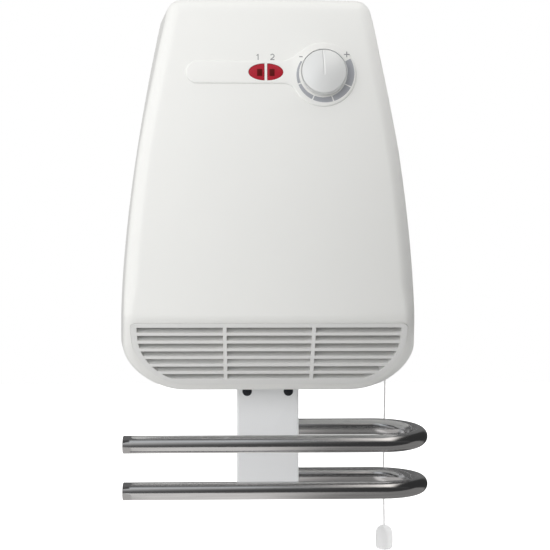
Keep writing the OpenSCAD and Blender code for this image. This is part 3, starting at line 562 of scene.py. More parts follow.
def put_out(group, given, made, shade_by, gloss_by, height):
    """The colour and roughness given, each varied by its amount, and the height."""
    shade = math_node(group, "ADD", shade_by, 1.0)
    group.links.new(tinted(group, given["Colour"], shade), made.inputs["Colour"])
    group.links.new(math_node(group, "ADD", given["Roughness"], gloss_by, True), made.inputs["Roughness"])
    group.links.new(height, made.inputs["Height"])
    return group


def make_skin_group():
    group, given, made = shader_group(
        "moulded_skin",
        [("Vector", VECTOR, None), ("Colour", COLOUR, (0.8, 0.8, 0.8, 1)), ("Drift", FLOAT, 0.04),
         ("Drift Scale", FLOAT, 14.0), ("Roughness", FLOAT, 0.4), ("Gloss Spread", FLOAT, 0.1),
         ("Grain Scale", FLOAT, 900.0)])
    slow = noise(group, given["Vector"], given["Drift Scale"], 3)
    fine = noise(group, given["Vector"], given["Grain Scale"], 1)
    patch = noise(group, given["Vector"], 55.0, 2)
    drift = about_middle(group, slow, given["Drift"])
    return put_out(group, given, made, drift, about_middle(group, patch, given["Gloss Spread"]), fine)


# %% The metal group
def make_metal_group():
    group, given, made = shader_group(
        "drawn_metal",
        [("Vector", VECTOR, None), ("Colour", COLOUR, (0.6, 0.6, 0.6, 1)), ("Streak", FLOAT, 0.12),
         ("Roughness", FLOAT, 0.25), ("Gloss Spread", FLOAT, 0.12), ("Stretch", VECTOR, (20.0, 900.0, 900.0))])
    long_way = add(group, "ShaderNodeVectorMath", {"operation": "MULTIPLY"},
                   i0=given["Vector"], i1=given["Stretch"])
    fine = noise(group, long_way.outputs[0], 1.0, 3, 0.6)
    broad = noise(group, long_way.outputs[0], 0.22, 2)
    streak = about_middle(group, fine, given["Streak"])
    gloss = about_middle(group, broad, given["Gloss Spread"])
    return put_out(group, given, made, streak, gloss, math_node(group, "ADD", fine, broad))


skin_group, metal_group = make_skin_group(), make_metal_group()


# %% [markdown]
# A material places one of the groups, feeds its colour, roughness and height to a
# Principled shader, and sets what is the same all over on the shader itself.

# %% Materials from the groups
def srgb(*levels):
    """An 8-bit screen colour as the linear values that a shader takes."""
    return tuple(((v / 255 + 0.055) / 1.055) ** 2.4 if v > 10 else v / 255 / 12.92 for v in levels) + (1,)


def new_material(name, **shader):
    """A material, its tree and its Principled shader with the values or sockets given."""
    material = bpy.data.materials.new(name)
    material.use_nodes = True
    tree = material.node_tree
    principled = tree.nodes["Principled BSDF"]
    for label, value in shader.items():
        principled.inputs[label.replace("_", " ")].default_value = value
    return material, tree, principled.inputs


def base_material(name, group, values, bump, bump_size=0.0001, use_uv=False, **shader):
    material, tree, takes = new_material(name, **shader)
    where = tree.nodes.new("ShaderNodeTexCoord").outputs["UV" if use_uv else "Object"]
    effect = add(tree, "ShaderNodeGroup", {"node_tree": group}, Vector=where, **values)
    relief = add(tree, "ShaderNodeBump", Strength=bump, Distance=bump_size, Height=effect.outputs["Height"])
    tree.links.new(relief.outputs[0], takes["Normal"])
    tree.links.new(effect.outputs["Colour"], takes["Base Color"])
    tree.links.new(effect.outputs["Roughness"], takes["Roughness"])
    return material


def recoloured(material, change):
    """Passes a material's colour through change(tree, colour) on its way to the shader."""
    tree = material.node_tree
    base = tree.nodes["Principled BSDF"].inputs["Base Color"]
    tree.links.new(change(tree, base.links[0].from_socket), base)
    return material


def moulded(name, colour, rough=0.4, drift=0.03, grain=900.0, bump=0.15, **shader):
    values = {"Colour": colour, "Drift": drift, "Roughness": rough, "Grain_Scale": grain}
    return base_material(name, skin_group, values, bump, **shader)


def metal(name, colour, rough=0.3, streak=0.15, stretch=(20.0, 900.0, 900.0), bump=0.1, **shader):
    values = {"Colour": colour, "Streak": streak, "Roughness": rough, "Stretch": stretch}
    return base_material(name, metal_group, values, bump, Metallic=1.0, **shader)


# %% The materials
white_shell = moulded("white_shell", srgb(240, 240, 237), 0.38, 0.02)
white_grille = moulded("white_grille", srgb(236, 236, 234), 0.42, 0.02)
white_sheet = moulded("white_sheet", srgb(246, 247, 248), 0.34, 0.02, 600.0, 0.3)
white_trim = moulded("white_trim", srgb(244, 244, 243), 0.3, 0.03)
dark_plastic = moulded("dark_plastic", srgb(44, 45, 48), 0.5, 0.1)
black_rubber = moulded("black_rubber", srgb(30, 34, 41), 0.55, 0.15, 700.0, 0.3)
terminal_plastic = moulded("terminal_plastic", srgb(226, 224, 210), 0.5, 0.05)
mica_board = moulded("mica_board", srgb(196, 180, 146), 0.6, 0.25, 300.0, 0.4)
lamp_glass = moulded("lamp_glass", srgb(236, 190, 160), 0.15, 0.1)
copper_winding = metal("copper_winding", srgb(184, 110, 70), 0.35, 0.3, (2500.0, 40.0, 2500.0), 0.5)
zinc_steel = metal("zinc_steel", srgb(186, 188, 190), 0.33, 0.2, (60.0, 60.0, 500.0))
lamination = metal("lamination", srgb(120, 120, 124), 0.45, 0.35, (2000.0, 30.0, 30.0), 0.4)
bronze = metal("bronze", srgb(180, 140, 96), 0.4, 0.2, (400.0, 400.0, 400.0))
rolled_aluminium = metal("rolled_aluminium", srgb(196, 198, 200), 0.36, 0.15, (30.0, 700.0, 700.0))
print(len(bpy.data.materials), "materials")

# %% [markdown]
# ## Finish the cover
# The strip, the shell and all the openings are now one mesh. Faces that meet at
# more than 32 degrees keep a crisp edge, and the rest are shaded smooth.

# %% Hand over the cover
hand_over(cover, white_shell, stands_for=["front_cover"])

# %% [markdown]
# ## The rear housing
# The CAD solid has every boss and hole of the tray behind the cover. Its mesh
# comes as loose triangles, so a copy is merged and shaded smooth, which is all
# that it needs.

# %% A smooth copy of the rear housing
tray = bpy.data.objects.new("rear_tray", nodes["rear_housing"].data.copy())
link(tray)
tray.data.transform(Matrix.Scale(1 / MM, 4))
work = bmesh.new()
work.from_mesh(tray.data)
bmesh.ops.remove_doubles(work, verts=work.verts, dist=0.001)
work.to_mesh(tray.data)
work.free()
hand_over(tray, white_shell, stands_for=["rear_housing"], sharp=28)

# %% [markdown]
# ## Slotted plates
# The outlet grille and the inlet in the top are both plates with rows of slots in
# bays. One Geometry Nodes tree makes them: a line of points carries one long box
# for each row, a field keeps the rows inside the grille's outline, upright bars
# are taken out of them, and what is left is cut from the plate.

# %% Helpers for geometry nodes
def finish_tree(tree, given, made, geometry):
    real = add(tree, "GeometryNodeRealizeInstances", Geometry=geometry)
    paint = add(tree, "GeometryNodeSetMaterial", Geometry=real.outputs[0], Material=given["Material"])
    tree.links.new(paint.outputs[0], made.inputs[0])


def grow(made, tree, values):
    """Runs a tree on an object and keeps the result as a plain mesh."""
    growth = made.modifiers.new(tree.name, "NODES")
    growth.node_group = tree
    names = {item.name: item.identifier for item in tree.interface.items_tree
             if item.item_type == "SOCKET" and item.in_out == "INPUT"}
    for label, value in values.items():
        growth[names[label]] = value
    return settle(made)


def xyz(tree, x=0.0, y=0.0, z=0.0):
    return add(tree, "ShaderNodeCombineXYZ", X=x, Y=y, Z=z).outputs[0]


def boxes_in_line(tree, count, start, step, size):
    """Real boxes of one size on a line of points."""
    line = add(tree, "GeometryNodeMeshLine", Count=count, Start_Location=start, Offset=step)
    one = add(tree, "GeometryNodeMeshCube", Size=size)
    boxes = add(tree, "GeometryNodeInstanceOnPoints", Points=line.outputs[0], Instance=one.outputs[0])
    return add(tree, "GeometryNodeRealizeInstances", Geometry=boxes.outputs[0]).outputs[0]


def boolean(tree, operation, **meshes):
    return add(tree, "GeometryNodeMeshBoolean", {"operation": operation, "solver": "EXACT"}, **meshes).outputs[0]


# %% The tree for slotted plates
def make_slot_tree():
    tree, given, made = new_group("slotted_plate", "GeometryNodeTree", [
        ("Geometry", GEOMETRY, None), ("Field", "NodeSocketObject", None), ("Rows", "NodeSocketInt", 7),
        ("Pitch", FLOAT, 9.82), ("First Row", FLOAT, 8.0), ("Slot Height", FLOAT, 6.3),
        ("Slot Reach", FLOAT, 130.0), ("Bars", "NodeSocketInt", 2), ("Bar Spacing", FLOAT, 80.0),
        ("Bar Width", FLOAT, 3.4), ("Material", "NodeSocketMaterial", None)], [("Geometry", GEOMETRY)])
    step = xyz(tree, y=math_node(tree, "MULTIPLY", given["Pitch"], -1.0))
    start = xyz(tree, y=math_node(tree, "MULTIPLY", given["First Row"], -1.0))
    across = math_node(tree, "MULTIPLY", given["Slot Reach"], 2.0)
    slots = boxes_in_line(tree, given["Rows"], start, step, xyz(tree, across, given["Slot Height"], 30.0))
    span = math_node(tree, "MULTIPLY", math_node(tree, "SUBTRACT", given["Bars"], 1.0), given["Bar Spacing"])
    first_bar = xyz(tree, x=math_node(tree, "MULTIPLY", span, -0.5), y=-40.0)
    bars = boxes_in_line(tree, given["Bars"], first_bar, xyz(tree, x=given["Bar Spacing"]),
                         xyz(tree, given["Bar Width"], 200.0, 40.0))
    field = add(tree, "GeometryNodeObjectInfo", Object=given["Field"]).outputs["Geometry"]
    inside = boolean(tree, "INTERSECT", Mesh_2=[slots, field])
    bays = boolean(tree, "DIFFERENCE", Mesh_1=inside, Mesh_2=bars)
    finish_tree(tree, given, made, boolean(tree, "DIFFERENCE", Mesh_1=given["Geometry"], Mesh_2=bays))
    return tree


slot_tree = make_slot_tree()
print("slot tree", len(slot_tree.nodes), "nodes")

# %% [markdown]
# ### The outlet grille
# Seven rows in three bays, with the ends of the rows following the casing's round
# foot. The plate stands 0.6 mm proud of the panel, and a small bevel on every edge
# of the slots catches the light as the moulding does.

# %% Outlet grille
def slotted(node, plate, rear, field, place, edge, values):
    """A plate with a stepped rear, slotted inside the field, in place of a grille of the CAD model."""
    cut(plate, [rear], "UNION")
    grow(plate, slot_tree, {"Field": field, "Material": white_grille, **values})
    bpy.data.objects.remove(field)
    soften(tidy(plate), edge)
    plate.data.transform(place)
    hand_over(plate, white_grille, stands_for=[node])


slotted("outlet_grille", prism("outlet_grille_plate", grille_outline(0), -1.4, 0.6),
        prism("skirt", grille_outline(3.3), -6, -1),
        prism("field", mirrored(slot_foot(0) + [(SLOT_REACH, -2)]), -20, 20), on_panel, 0.35,
        {"Rows": 7, "Pitch": 9.82, "First Row": 8.45, "Slot Height": 6.3})

# %% Inlet grille
INLET_ROWS, INLET_PITCH, INLET_FIT, INLET_FLANGE = 7, 5.6, 0.3, 2.0


def inlet_box(more):
    return box(-INLET_HALF - more, INLET_HALF + more, INLET_FRONT - more, INLET_BACK + more)


first = -(INLET_FRONT + INLET_BACK) / 2 - INLET_PITCH * (INLET_ROWS - 1) / 2
slotted("inlet_grille", prism("inlet_grille_plate", inlet_box(-INLET_FIT), -4, -0.6),
        prism("flange", inlet_box(INLET_FLANGE), -5.5, -3.5),
        prism("field", box(-INLET_HALF + 3, INLET_HALF - 3, -60, 0), -20, 20), on_top, 0.3,
        {"Rows": INLET_ROWS, "Pitch": INLET_PITCH, "First Row": first, "Slot Height": 3.4, "Bar Spacing": 47.0,
         "Bar Width": 3.0})

# %% [markdown]
# ## Signal lenses
# Each lens is half an oval of tinted plastic that sits a little below the strip.
# Behind it is the window of a small lamp, which is off. Over each window the red
# is painted darker, as painted shade of the unlit lamp, and the inside of the lens has fine prisms.

# %% Lens material and lenses
WINDOW_X, WINDOW_HALVES, WINDOW_BLUR, WINDOW_DROP = 5.6, (2.35, 3.3), 0.4, 0.4


def painted_window_shade(tree, colour):
    """The colour with painted shade where the unlit lamps' windows sit behind the lens."""
    axes = add(tree, "ShaderNodeSeparateXYZ", i0=tree.nodes.new("ShaderNodeTexCoord").outputs["Object"])
    window_z = (KNOB_Z + STRIP_Y - WINDOW_DROP) * MM

    def distance(value, middle):
        return math_node(tree, "ABSOLUTE", math_node(tree, "SUBTRACT", value, middle))

    across = distance(distance(axes.outputs["X"], LENS_X * MM), WINDOW_X * MM)
    near = [add(tree, "ShaderNodeMapRange", {"interpolation_type": "SMOOTHSTEP"}, Value=away,
                From_Min=(half + WINDOW_BLUR) * MM, From_Max=(half - WINDOW_BLUR) * MM).outputs[0]
            for away, half in zip((across, distance(axes.outputs["Z"], window_z)), WINDOW_HALVES)]
    # Painted shade: over each window the red goes to a dark red.
    return add(tree, "ShaderNodeMix", {"data_type": "RGBA"}, Factor=math_node(tree, "MULTIPLY", *near),
               i6=colour, i7=srgb(96, 14, 14)).outputs[2]


signal_red = moulded("signal_red", srgb(172, 33, 49), 0.25, 0.25, 1400.0, 0.4, Specular_IOR_Level=0.25)
recoloured(signal_red, painted_window_shade)
for side, name in ((-1, "left"), (1, "right")):
    lens = prism("lens_" + name + "_cap", lens_outline(side, 0), -3.1, STRIP_RISE - 0.3, at_lens)
    flange = facing(side, [(0.4, -9.3), (15.3, -5.8), (15.3, 5.8), (0.4, 9.3)])
    soften(lens, 0.3)
    cut(lens, [prism("flange", flange, -4.2, -3.0, at_lens)], "UNION")
    hand_over(lens, signal_red, stands_for=["lens_" + name])

# %% [markdown]
# ## The thermostat knob
# A skirt that widens to a thin lip carries a domed satin cap. A fine groove parts
# the two: its outer wall is in shade at the upper left, where it draws a dark
# hairline round the cap. The pointer is a groove too, from the cap's edge to a
# little past the middle. Its floor slants, so it is dark along its left, and a thin
# white inlay on its right is a painted highlight of the side that catches the light.

# %% Knob
KNOB_R, KNOB_BASE, KNOB_H, LIP_H = 21.0, 1.6, 12.2, 8.3
CAP_R, CAP_EDGE, POINTER_END = KNOB_R - 0.8, 1.3, -3.6


def cap_profile(low):
    """The cap's half section from its straight side at height low to its middle."""
    edge_x, edge_z = CAP_R - CAP_EDGE, KNOB_BASE + LIP_H - 1
    edge = arc(edge_x, edge_z, CAP_EDGE, 0, 70, 7)
    dome_r, dome_z = edge[-1]
    dome = [(dome_r * t, dome_z + (KNOB_BASE + KNOB_H - dome_z) * (1 - t * t)) for t in np.linspace(0.93, 0, 14)]
    return [(CAP_R, low)] + edge + dome


SPINDLE_R, HUB_R, HUB_END, HUB_TOP = 3.02, 6.0, -6.0, 9.9
LIP_TOP, GROOVE_FLOOR, GROOVE_W = KNOB_BASE + LIP_H, 8.1, 0.35
bore = [(0, HUB_TOP), (SPINDLE_R, HUB_TOP), (SPINDLE_R, HUB_END), (HUB_R, HUB_END), (HUB_R, 9.3),
        (KNOB_R - 3, 7.3), (KNOB_R - 3, KNOB_BASE + 0.3)]
skirt = [(KNOB_R - 2.7, KNOB_BASE), (KNOB_R - 1.3, KNOB_BASE), (KNOB_R - 1, KNOB_BASE + 0.3),
         (KNOB_R - 0.05, LIP_TOP - 0.6), (KNOB_R - 0.02, LIP_TOP - 0.3), (KNOB_R - 0.12, LIP_TOP - 0.07),
         (KNOB_R - 0.3, LIP_TOP - 0.1), (KNOB_R - GROOVE_W, LIP_TOP - 0.3), (KNOB_R - GROOVE_W, GROOVE_FLOOR)]
knob = lathe("thermostat_cap", bore + skirt + cap_profile(GROOVE_FLOOR), at_knob, 160)

# %% The pointer's groove and its painted highlight
pointer_line = at_knob @ Matrix.Rotation(math.radians(2), 4, "Z")
LOW, HIGH = LIP_TOP - 1.6, KNOB_BASE + KNOB_H + 2


def under_cap(name, depth, lean):
    """The cap's form sunk by depth and leaned to the left about the pointer's line."""
    top = KNOB_BASE + KNOB_H
    sunk = Matrix.Translation((0, 0, top - depth)) @ Matrix.Rotation(math.radians(-lean), 4, "Y")
    place = pointer_line @ sunk @ Matrix.Translation((0, 0, -top))
    return lathe(name, [(0, 0), (CAP_R, 0)] + cap_profile(1), place, 96)


groove_plan = arc(0.25, POINTER_END, 1.3, 158, 416, 18) + [(1, CAP_R + 0.1), (-1, CAP_R + 0.1)]
groove = prism("groove", groove_plan, LOW, HIGH, pointer_line)
cut(groove, [under_cap("groove_floor", 0.7, 12)])
cut(knob, [groove])
# A lighter white strip along the groove's right side and round its end: a painted highlight where that side
# catches the light.
highlight_plan = arc(0.35, POINTER_END, 1.0, 200, 400, 14) + [(0.85, CAP_R - 0.3), (-0.2, CAP_R - 0.3)]
pointer_highlight = prism("pointer_inlay", [(-0.2, POINTER_END)] + highlight_plan, LOW + 1, HIGH, pointer_line)
cut(pointer_highlight, [under_cap("inlay_top", 0.15, 8)], "INTERSECT")
hand_over(pointer_highlight, white_trim, "knob")
satin_silver = moulded("satin_silver", srgb(231, 232, 231), 0.34, 0.03, 1500.0, 0.2, Metallic=0.1)
hand_over(knob, satin_silver, "knob", ["thermostat_knob"], 25)

# %% [markdown]
# ## Printed marks
# The scale round the knob is a band that grows from a thin to a thick end, split
# into five fields. With the two lamp numbers, the minus and the plus it is printed
# in grey, so each mark is a skin of ink a few hundredths of a millimetre high that
# follows the front.

# %% Scale and marks
INK, INK_ROOT = 0.06, 0.25


def ink_piece(name, plates, material):
    """Outlines printed at a height over the front, as one piece."""
    plans = [(outline, [(0, height - INK_ROOT), (0, height + INK)]) for outline, height in plates]
    return hand_over(pads(name, plans), material)


SCALE_START, SCALE_END = 149, 391
INNER_START, INNER_END, OUTER_START, OUTER_END = 22.4, 21.2, 23.9, 28.7
GAPS, GAP_HALF = [202.5, 246.7, 289.7, 334.4], 1.3


def scale_field(start, end):
    """One field of the scale, between two turns about the knob."""
    turns = np.linspace(start, end, max(4, int((end - start) / 3)))
    sides = [np.interp(turns, (SCALE_START, SCALE_END), radii)
             for radii in ((OUTER_START, OUTER_END), (INNER_START, INNER_END))]
    outside, inside = [list(zip(r * np.cos(np.radians(turns)), r * np.sin(np.radians(turns)))) for r in sides]
    return outside + inside[::-1]


cuts = [SCALE_START] + [gap + side for gap in GAPS for side in (-GAP_HALF, GAP_HALF)] + [SCALE_END]
fields = [scale_field(a, b) for a, b in zip(cuts[::2], cuts[1::2])]


def stroke(path, width):
    """A pen line of that width along a path, with square ends."""
    p = np.array(path, float)
    way = np.gradient(p, axis=0)
    way /= np.linalg.norm(way, axis=1)[:, None]
    off = np.stack([-way[:, 1], way[:, 0]], 1) * width / 2
    return [tuple(q) for q in p - off] + [tuple(q) for q in (p + off)[::-1]]


# %% The marks
PEN, DIGIT_H = 0.75, 5.5
one_x, two_x, mark_y = -10.5 - KNOB_X, 3.0 - KNOB_X, 13.4
two_top = arc(two_x, mark_y + DIGIT_H - 1.6, 1.55, 165, -25, 12)
two_leg = s_curve(two_top[-1], (-0.4, -0.9), (two_x - 1.8, mark_y + 0.35), (-0.7, -0.7), 1.4, 8)
plus_x, plus_y, minus_x, minus_y = 70.6 - KNOB_X, 18.6, 28.9 - KNOB_X, 16.2
PLUS_HALF, MINUS_HALF = 2.6, 1.5
marks = [
    (stroke([(one_x + 0.5, mark_y), (one_x + 0.5, mark_y + DIGIT_H)], PEN), 0),
    (stroke([(one_x - 0.9, mark_y + DIGIT_H - 1.5), (one_x + 0.4, mark_y + DIGIT_H - 0.3)], PEN * 0.8), 0),
    (stroke(two_top + two_leg, PEN), 0),
    (stroke([(two_x - 2.0, mark_y + 0.35), (two_x + 1.9, mark_y + 0.35)], PEN), 0),
    (stroke([(minus_x - MINUS_HALF, minus_y), (minus_x + MINUS_HALF, minus_y)], 0.9), STRIP_RISE),
    (stroke([(plus_x - PLUS_HALF, plus_y), (plus_x + PLUS_HALF, plus_y)], 0.8), STRIP_RISE),
    (stroke([(plus_x, plus_y - PLUS_HALF), (plus_x, plus_y + PLUS_HALF)], 0.8), STRIP_RISE),
]
scale_ink = moulded("scale_ink", srgb(170, 172, 178), 0.45, 0.04)
mark_ink = moulded("mark_ink", srgb(140, 141, 143), 0.45, 0.04)
ink_piece("knob_scale", [(f, STRIP_RISE) for f in fields], scale_ink)
ink_piece("control_marks", marks, mark_ink)

# %% [markdown]
# ## Towel rails
# A rail is one tube, bent to a J on a round former. The mesh follows the tube: a
# ring of points every few millimetres, with its own UV map, so that the polishing
# lines run along the tube and round the bend with it.

# %% Rail material
polished_steel = metal("polished_steel", (0.60, 0.60, 0.605, 1), 0.16, 0.3, (22.0, 420.0, 0.0), 0.3,
                       bump_size=0.00003, use_uv=True)

# %% Helpers for tubes
RAIL_R, RAIL_WALL, RAIL_BEND, BEND_X, RAIL_END, RAIL_DEPTH = 7.97, 1.2, 40.0, 102.7, 131.7, 28.0
RAIL_START, END_ROUND = -27.9, 0.3


def rail_path():
    """Middle of the tube as (place, direction) in the plane of the J."""
    back = [((x, 0), (1, 0)) for x in np.linspace(RAIL_START, BEND_X, 16)[:-1]]
    bend = [((BEND_X + RAIL_BEND * math.sin(a), -RAIL_BEND + RAIL_BEND * math.cos(a)), (math.cos(a), -math.sin(a)))
            for a in np.linspace(0, math.pi, 49)]
    front = [((x, -2 * RAIL_BEND), (-1, 0)) for x in np.linspace(BEND_X, -RAIL_END, 28)[1:]]
    return back + bend + front


def swept(name, rings, uv_of, faces):
    """Rings of points as one skin, with a UV map from each point's row and place in its ring."""
    sides = len(rings[0])
    made = piece(name, [p for ring in rings for p in ring], faces)
    layer = made.data.uv_layers.new(name="along")
    for polygon in made.data.polygons:
        if len(polygon.vertices) == 4:
            places = [divmod(v, sides) for v in polygon.vertices]
            seam = max(k for _, k in places) - min(k for _, k in places) > 1
            for loop, (row, k) in zip(polygon.loop_indices, places):
                layer.data[loop].uv = uv_of(row, sides if seam and k == 0 else k)
    return tidy(made, 1e-5)


def tube(name, path, outer_r, inner_r, place, sides=48):
    """An open tube along a flat path, its outer ends rounded off a little."""
    run = np.cumsum([0] + [math.dist(a, b) for (a, _), (b, _) in zip(path, path[1:])])
    last = len(path) - 1
    steps = [(i, outer_r, END_ROUND * ((i == 0) - (i == last))) for i in range(len(path))]
    steps = [(0, outer_r - END_ROUND, 0)] + steps + [(last, outer_r - END_ROUND, 0)]
    steps += [(i, inner_r, 0) for i in range(last, -1, -1)]
    rings = []
    for i, r, slide in steps:
        (x, y), (dx, dy) = path[i]
        rings.append([place @ Vector((x + dx * slide - dy * side, y + dy * slide + dx * side, up))
                      for side, up in disc(r, sides=sides)])
    first = (len(rings) - 1) * sides
    faces = ring_faces(sides, len(rings))
    faces += [(first + k, first + (k + 1) % sides, (k + 1) % sides, k) for k in range(sides)]
    around = 2 * math.pi * outer_r / sides
    return swept(name, rings, lambda row, k: (run[steps[row][0]] * MM, around * k * MM), faces)


# %% Rails
RAILS = {"upper": (-223.3, 2.4), "lower": (-271.6, -2.0)}
for name, (z, lean) in RAILS.items():
    place = Matrix.Translation((0, -RAIL_DEPTH, z)) @ Matrix.Rotation(math.radians(lean), 4, "X")
    rail = tube(name + "_rail_tube", rail_path(), RAIL_R, RAIL_R - RAIL_WALL, place)
    hand_over(rail, polished_steel, stands_for=[name + "_rail"], sharp=50)

# %% [markdown]
# ## The bracket
# The bracket is one sheet, folded into a channel with two lips against the wall.
# A fold is never sharp: the outside of each one is a radius a little over the
# sheet's thickness.

# %% Bracket
BRACKET_W, BRACKET_DEPTH, SHEET, FOLD, LIP = 60.0, 45.0, 2.0, 2.6, 14.0
FOOT, PLATE_TOP, WALL_TOP, TAB_TOP = -283.0, -DROP + 1.8, -DROP - 0.6, -146.0
PLUG_X, PLUG_Z, PLUG_R, WALL_HOLE_R, TAB_HOLE_R, TAB_HOLE_Z = 20.0, -186.2, 4.65, 2.75, 1.6, -160
w = BRACKET_W / 2


def channel_outline():
    """The folded sheet from above, with its open side to the wall."""
    def run(r, steps):
        corners = ((-w + FOLD, -FOLD), (-w + FOLD, -BRACKET_DEPTH + FOLD), (w - FOLD, -BRACKET_DEPTH + FOLD),
                   (w - FOLD, -FOLD))
        turns = (90, 180, 270, 0)
        return [p for (x, y), a in zip(corners, turns) for p in arc(x, y, r, a, a + 90, steps)]

    return [(-LIP, 0)] + run(FOLD, 6) + [(LIP, 0), (LIP, -SHEET)] + run(FOLD - SHEET, 3)[::-1] + [(-LIP, -SHEET)]


bracket = prism("folded_bracket", channel_outline()[::-1], FOOT, WALL_TOP)
extra = [
    prism("plate_top", box(-w + FOLD, w - FOLD, -BRACKET_DEPTH, -BRACKET_DEPTH + SHEET), WALL_TOP - 1, PLATE_TOP),
    prism("floor", box(-w + 1, w - 1, -BRACKET_DEPTH + 1, 0), FOOT, FOOT + SHEET)]
extra += [prism("tab", facing(side, box(LIP, w, -SHEET, 0)), WALL_TOP - 1, TAB_TOP) for side in (-1, 1)]
cut(bracket, extra, "UNION")
turned = Matrix.Rotation(math.pi / 2, 4, "X")
crossways = Matrix.Rotation(math.pi / 2, 4, "Y")
sink = [(0, -1), (3.7, -1), (3.7, 0.2), (2.1, 1.8), (2.1, 3), (0, 3)]
tools = []
for x in (-PLUG_X, PLUG_X):
    tools += [
        prism("plug_hole", disc(PLUG_R, x, PLUG_Z, 48), BRACKET_DEPTH - SHEET - 1, BRACKET_DEPTH + 1, turned),
        prism("wall_hole", disc(WALL_HOLE_R, x, PLUG_Z, 32), -1, SHEET + 1, turned),
        prism("tab_hole", disc(TAB_HOLE_R, x, TAB_HOLE_Z, 24), -1, SHEET + 1, turned)]
for z, _ in RAILS.values():
    tools += [
        prism("rail_hole", disc(RAIL_R + 0.05, -z, -RAIL_DEPTH), w - SHEET - 1, w + 1, crossways),
        lathe("screw_hole", sink, Matrix.Translation((-w, -RAIL_DEPTH, z)) @ crossways, 32)]
cut(bracket, tools)
hand_over(bracket, white_sheet, stands_for=["towel_rail_bracket"])

# %% Plugs over the wall screws
PLUG_STEM, PLUG_HEAD = -2.2, 0.85
plug_profile = [(0, PLUG_STEM), (PLUG_R - 0.5, PLUG_STEM), (PLUG_R - 0.06, PLUG_STEM + 0.5), (PLUG_R - 0.06, 0.0),
                (PLUG_R - 0.3, 0.35), (PLUG_R - 0.9, 0.55), (2.0, PLUG_HEAD - 0.05), (0, PLUG_HEAD)]
for x, name in ((-PLUG_X, "left"), (PLUG_X, "right")):
    place = Matrix.Translation((x, -BRACKET_DEPTH, PLUG_Z)) @ turned
    plug = lathe("plug_" + name, plug_profile, place, 48)
    hand_over(plug, black_rubber, stands_for=["bracket_plugs"], sharp=40)

# %% [markdown]
# ## The pull cord
# A limp cord of 1.8 mm hangs from the switch in the casing to a moulded pull. Its
# route is the CAD's own: straight down with a slight set. The tube is swept along
# it, and a braid of crossing threads comes from a pattern on its UV map, as relief
# and as painted shade between the threads.

# %% Cord
CORD_D, THREADS = 1.8, 8
cord_route = [
    (118.5, -12, -154), (118.5, -12, -163), (118.5, -12, -172), (118.5, -12, -181), (118.5, -12, -190),
    (118.4, -12, -200), (118.2, -12, -210), (117.9, -12, -220), (117.6, -12, -230), (117.4, -12, -240),
    (117.3, -12, -250), (117.2, -12, -260), (117.2, -12, -270), (117.2, -12, -280), (117.3, -12, -290),
    (117.4, -12, -300), (117.6, -12, -312), (117.8, -12, -324.4)]


def braid_painted_shade(tree, colour):
    """The colour with painted shade between the threads that cross, which also give the relief."""
    axes = add(tree, "ShaderNodeSeparateXYZ", i0=tree.nodes.new("ShaderNodeTexCoord").outputs["UV"])
    threads = []
    for lean in (-1.0, 1.0):
        slant = math_node(tree, "ADD", axes.outputs["X"], math_node(tree, "MULTIPLY", axes.outputs["Y"], lean))
        wave = math_node(tree, "SINE", math_node(tree, "MULTIPLY", slant, 2 * math.pi * THREADS))
        threads.append(math_node(tree, "ABSOLUTE", wave))
    braid = math_node(tree, "MAXIMUM", *threads)
    relief = next(node for node in tree.nodes if node.bl_idname == "ShaderNodeBump")
    relief.inputs["Strength"].default_value = 0.6
    tree.links.new(braid, relief.inputs["Height"])
    # Painted shade: the colour falls to 0.8 between the threads.
    return tinted(tree, colour, math_node(tree, "ADD", math_node(tree, "MULTIPLY", braid, 0.25), 0.8))


def cord_tube(name, route, diameter, sides=12, step=1.0):
    """A solid cord: upright rings about every millimetre, closed at both ends."""
    places = [Vector(route[0])]
    for a, b in zip(route, route[1:]):
        a, b = Vector(a), Vector(b)
        count = max(1, round((b - a).length / step))
        places += [a.lerp(b, k / count) for k in range(1, count + 1)]
    rings = [[place + Vector((x, y, 0)) for x, y in disc(diameter / 2, sides=sides)] for place in places]
    return swept(name, rings, lambda row, k: (k / sides, row * step / (math.pi * diameter)),
                 stack_faces(sides, len(rings)))


cord = cord_tube("hanging_cord", cord_route, CORD_D)
braided_cord = moulded("braided_cord", srgb(240, 240, 239), 0.7, 0.04, 3000.0, 0.2, Sheen_Weight=0.3)
hand_over(cord, recoloured(braided_cord, braid_painted_shade), "pull", ["pull_cord"], 60)

# %% [markdown]
# The pull is a small bell of translucent white plastic. Shallow flutes round its
# skirt give wet fingers a hold.

# %% Pull
PULL_R, PULL_H, PULL_PLACE = 8.7, 24.0, Vector(cord_route[-1])
FLUTES, FLUTE_DEPTH = 10, 0.028


def pull_profile():
    bottom = [(0, 0.9), (PULL_R - 3.4, 0.9), (PULL_R - 3.0, 0), (PULL_R - 2.0, 0.1), (PULL_R - 0.9, 0.9),
              (PULL_R - 0.35, 2.2)]
    side = [(PULL_R - 0.1, 5), (PULL_R, 8.5), (PULL_R - 0.05, 12), (PULL_R - 0.35, 16)]
    crown = [((PULL_R - 0.35) * math.cos(a), PULL_H - 8 + 7.6 * math.sin(a)) for a in np.radians(range(8, 80, 8))]
    return bottom + side + crown + [(1.6, PULL_H - 0.15), (1.0, PULL_H - 0.05), (0, PULL_H)]


def flutes(turn, z):
    """The factor on the pull's radius, with flutes that fade out at both ends of the skirt."""
    depth = FLUTE_DEPTH * max(0.0, min(1.0, (z - 1.0) / 3, (17 - z) / 5))
    return 1 - depth * (0.5 - 0.5 * math.cos(FLUTES * turn))


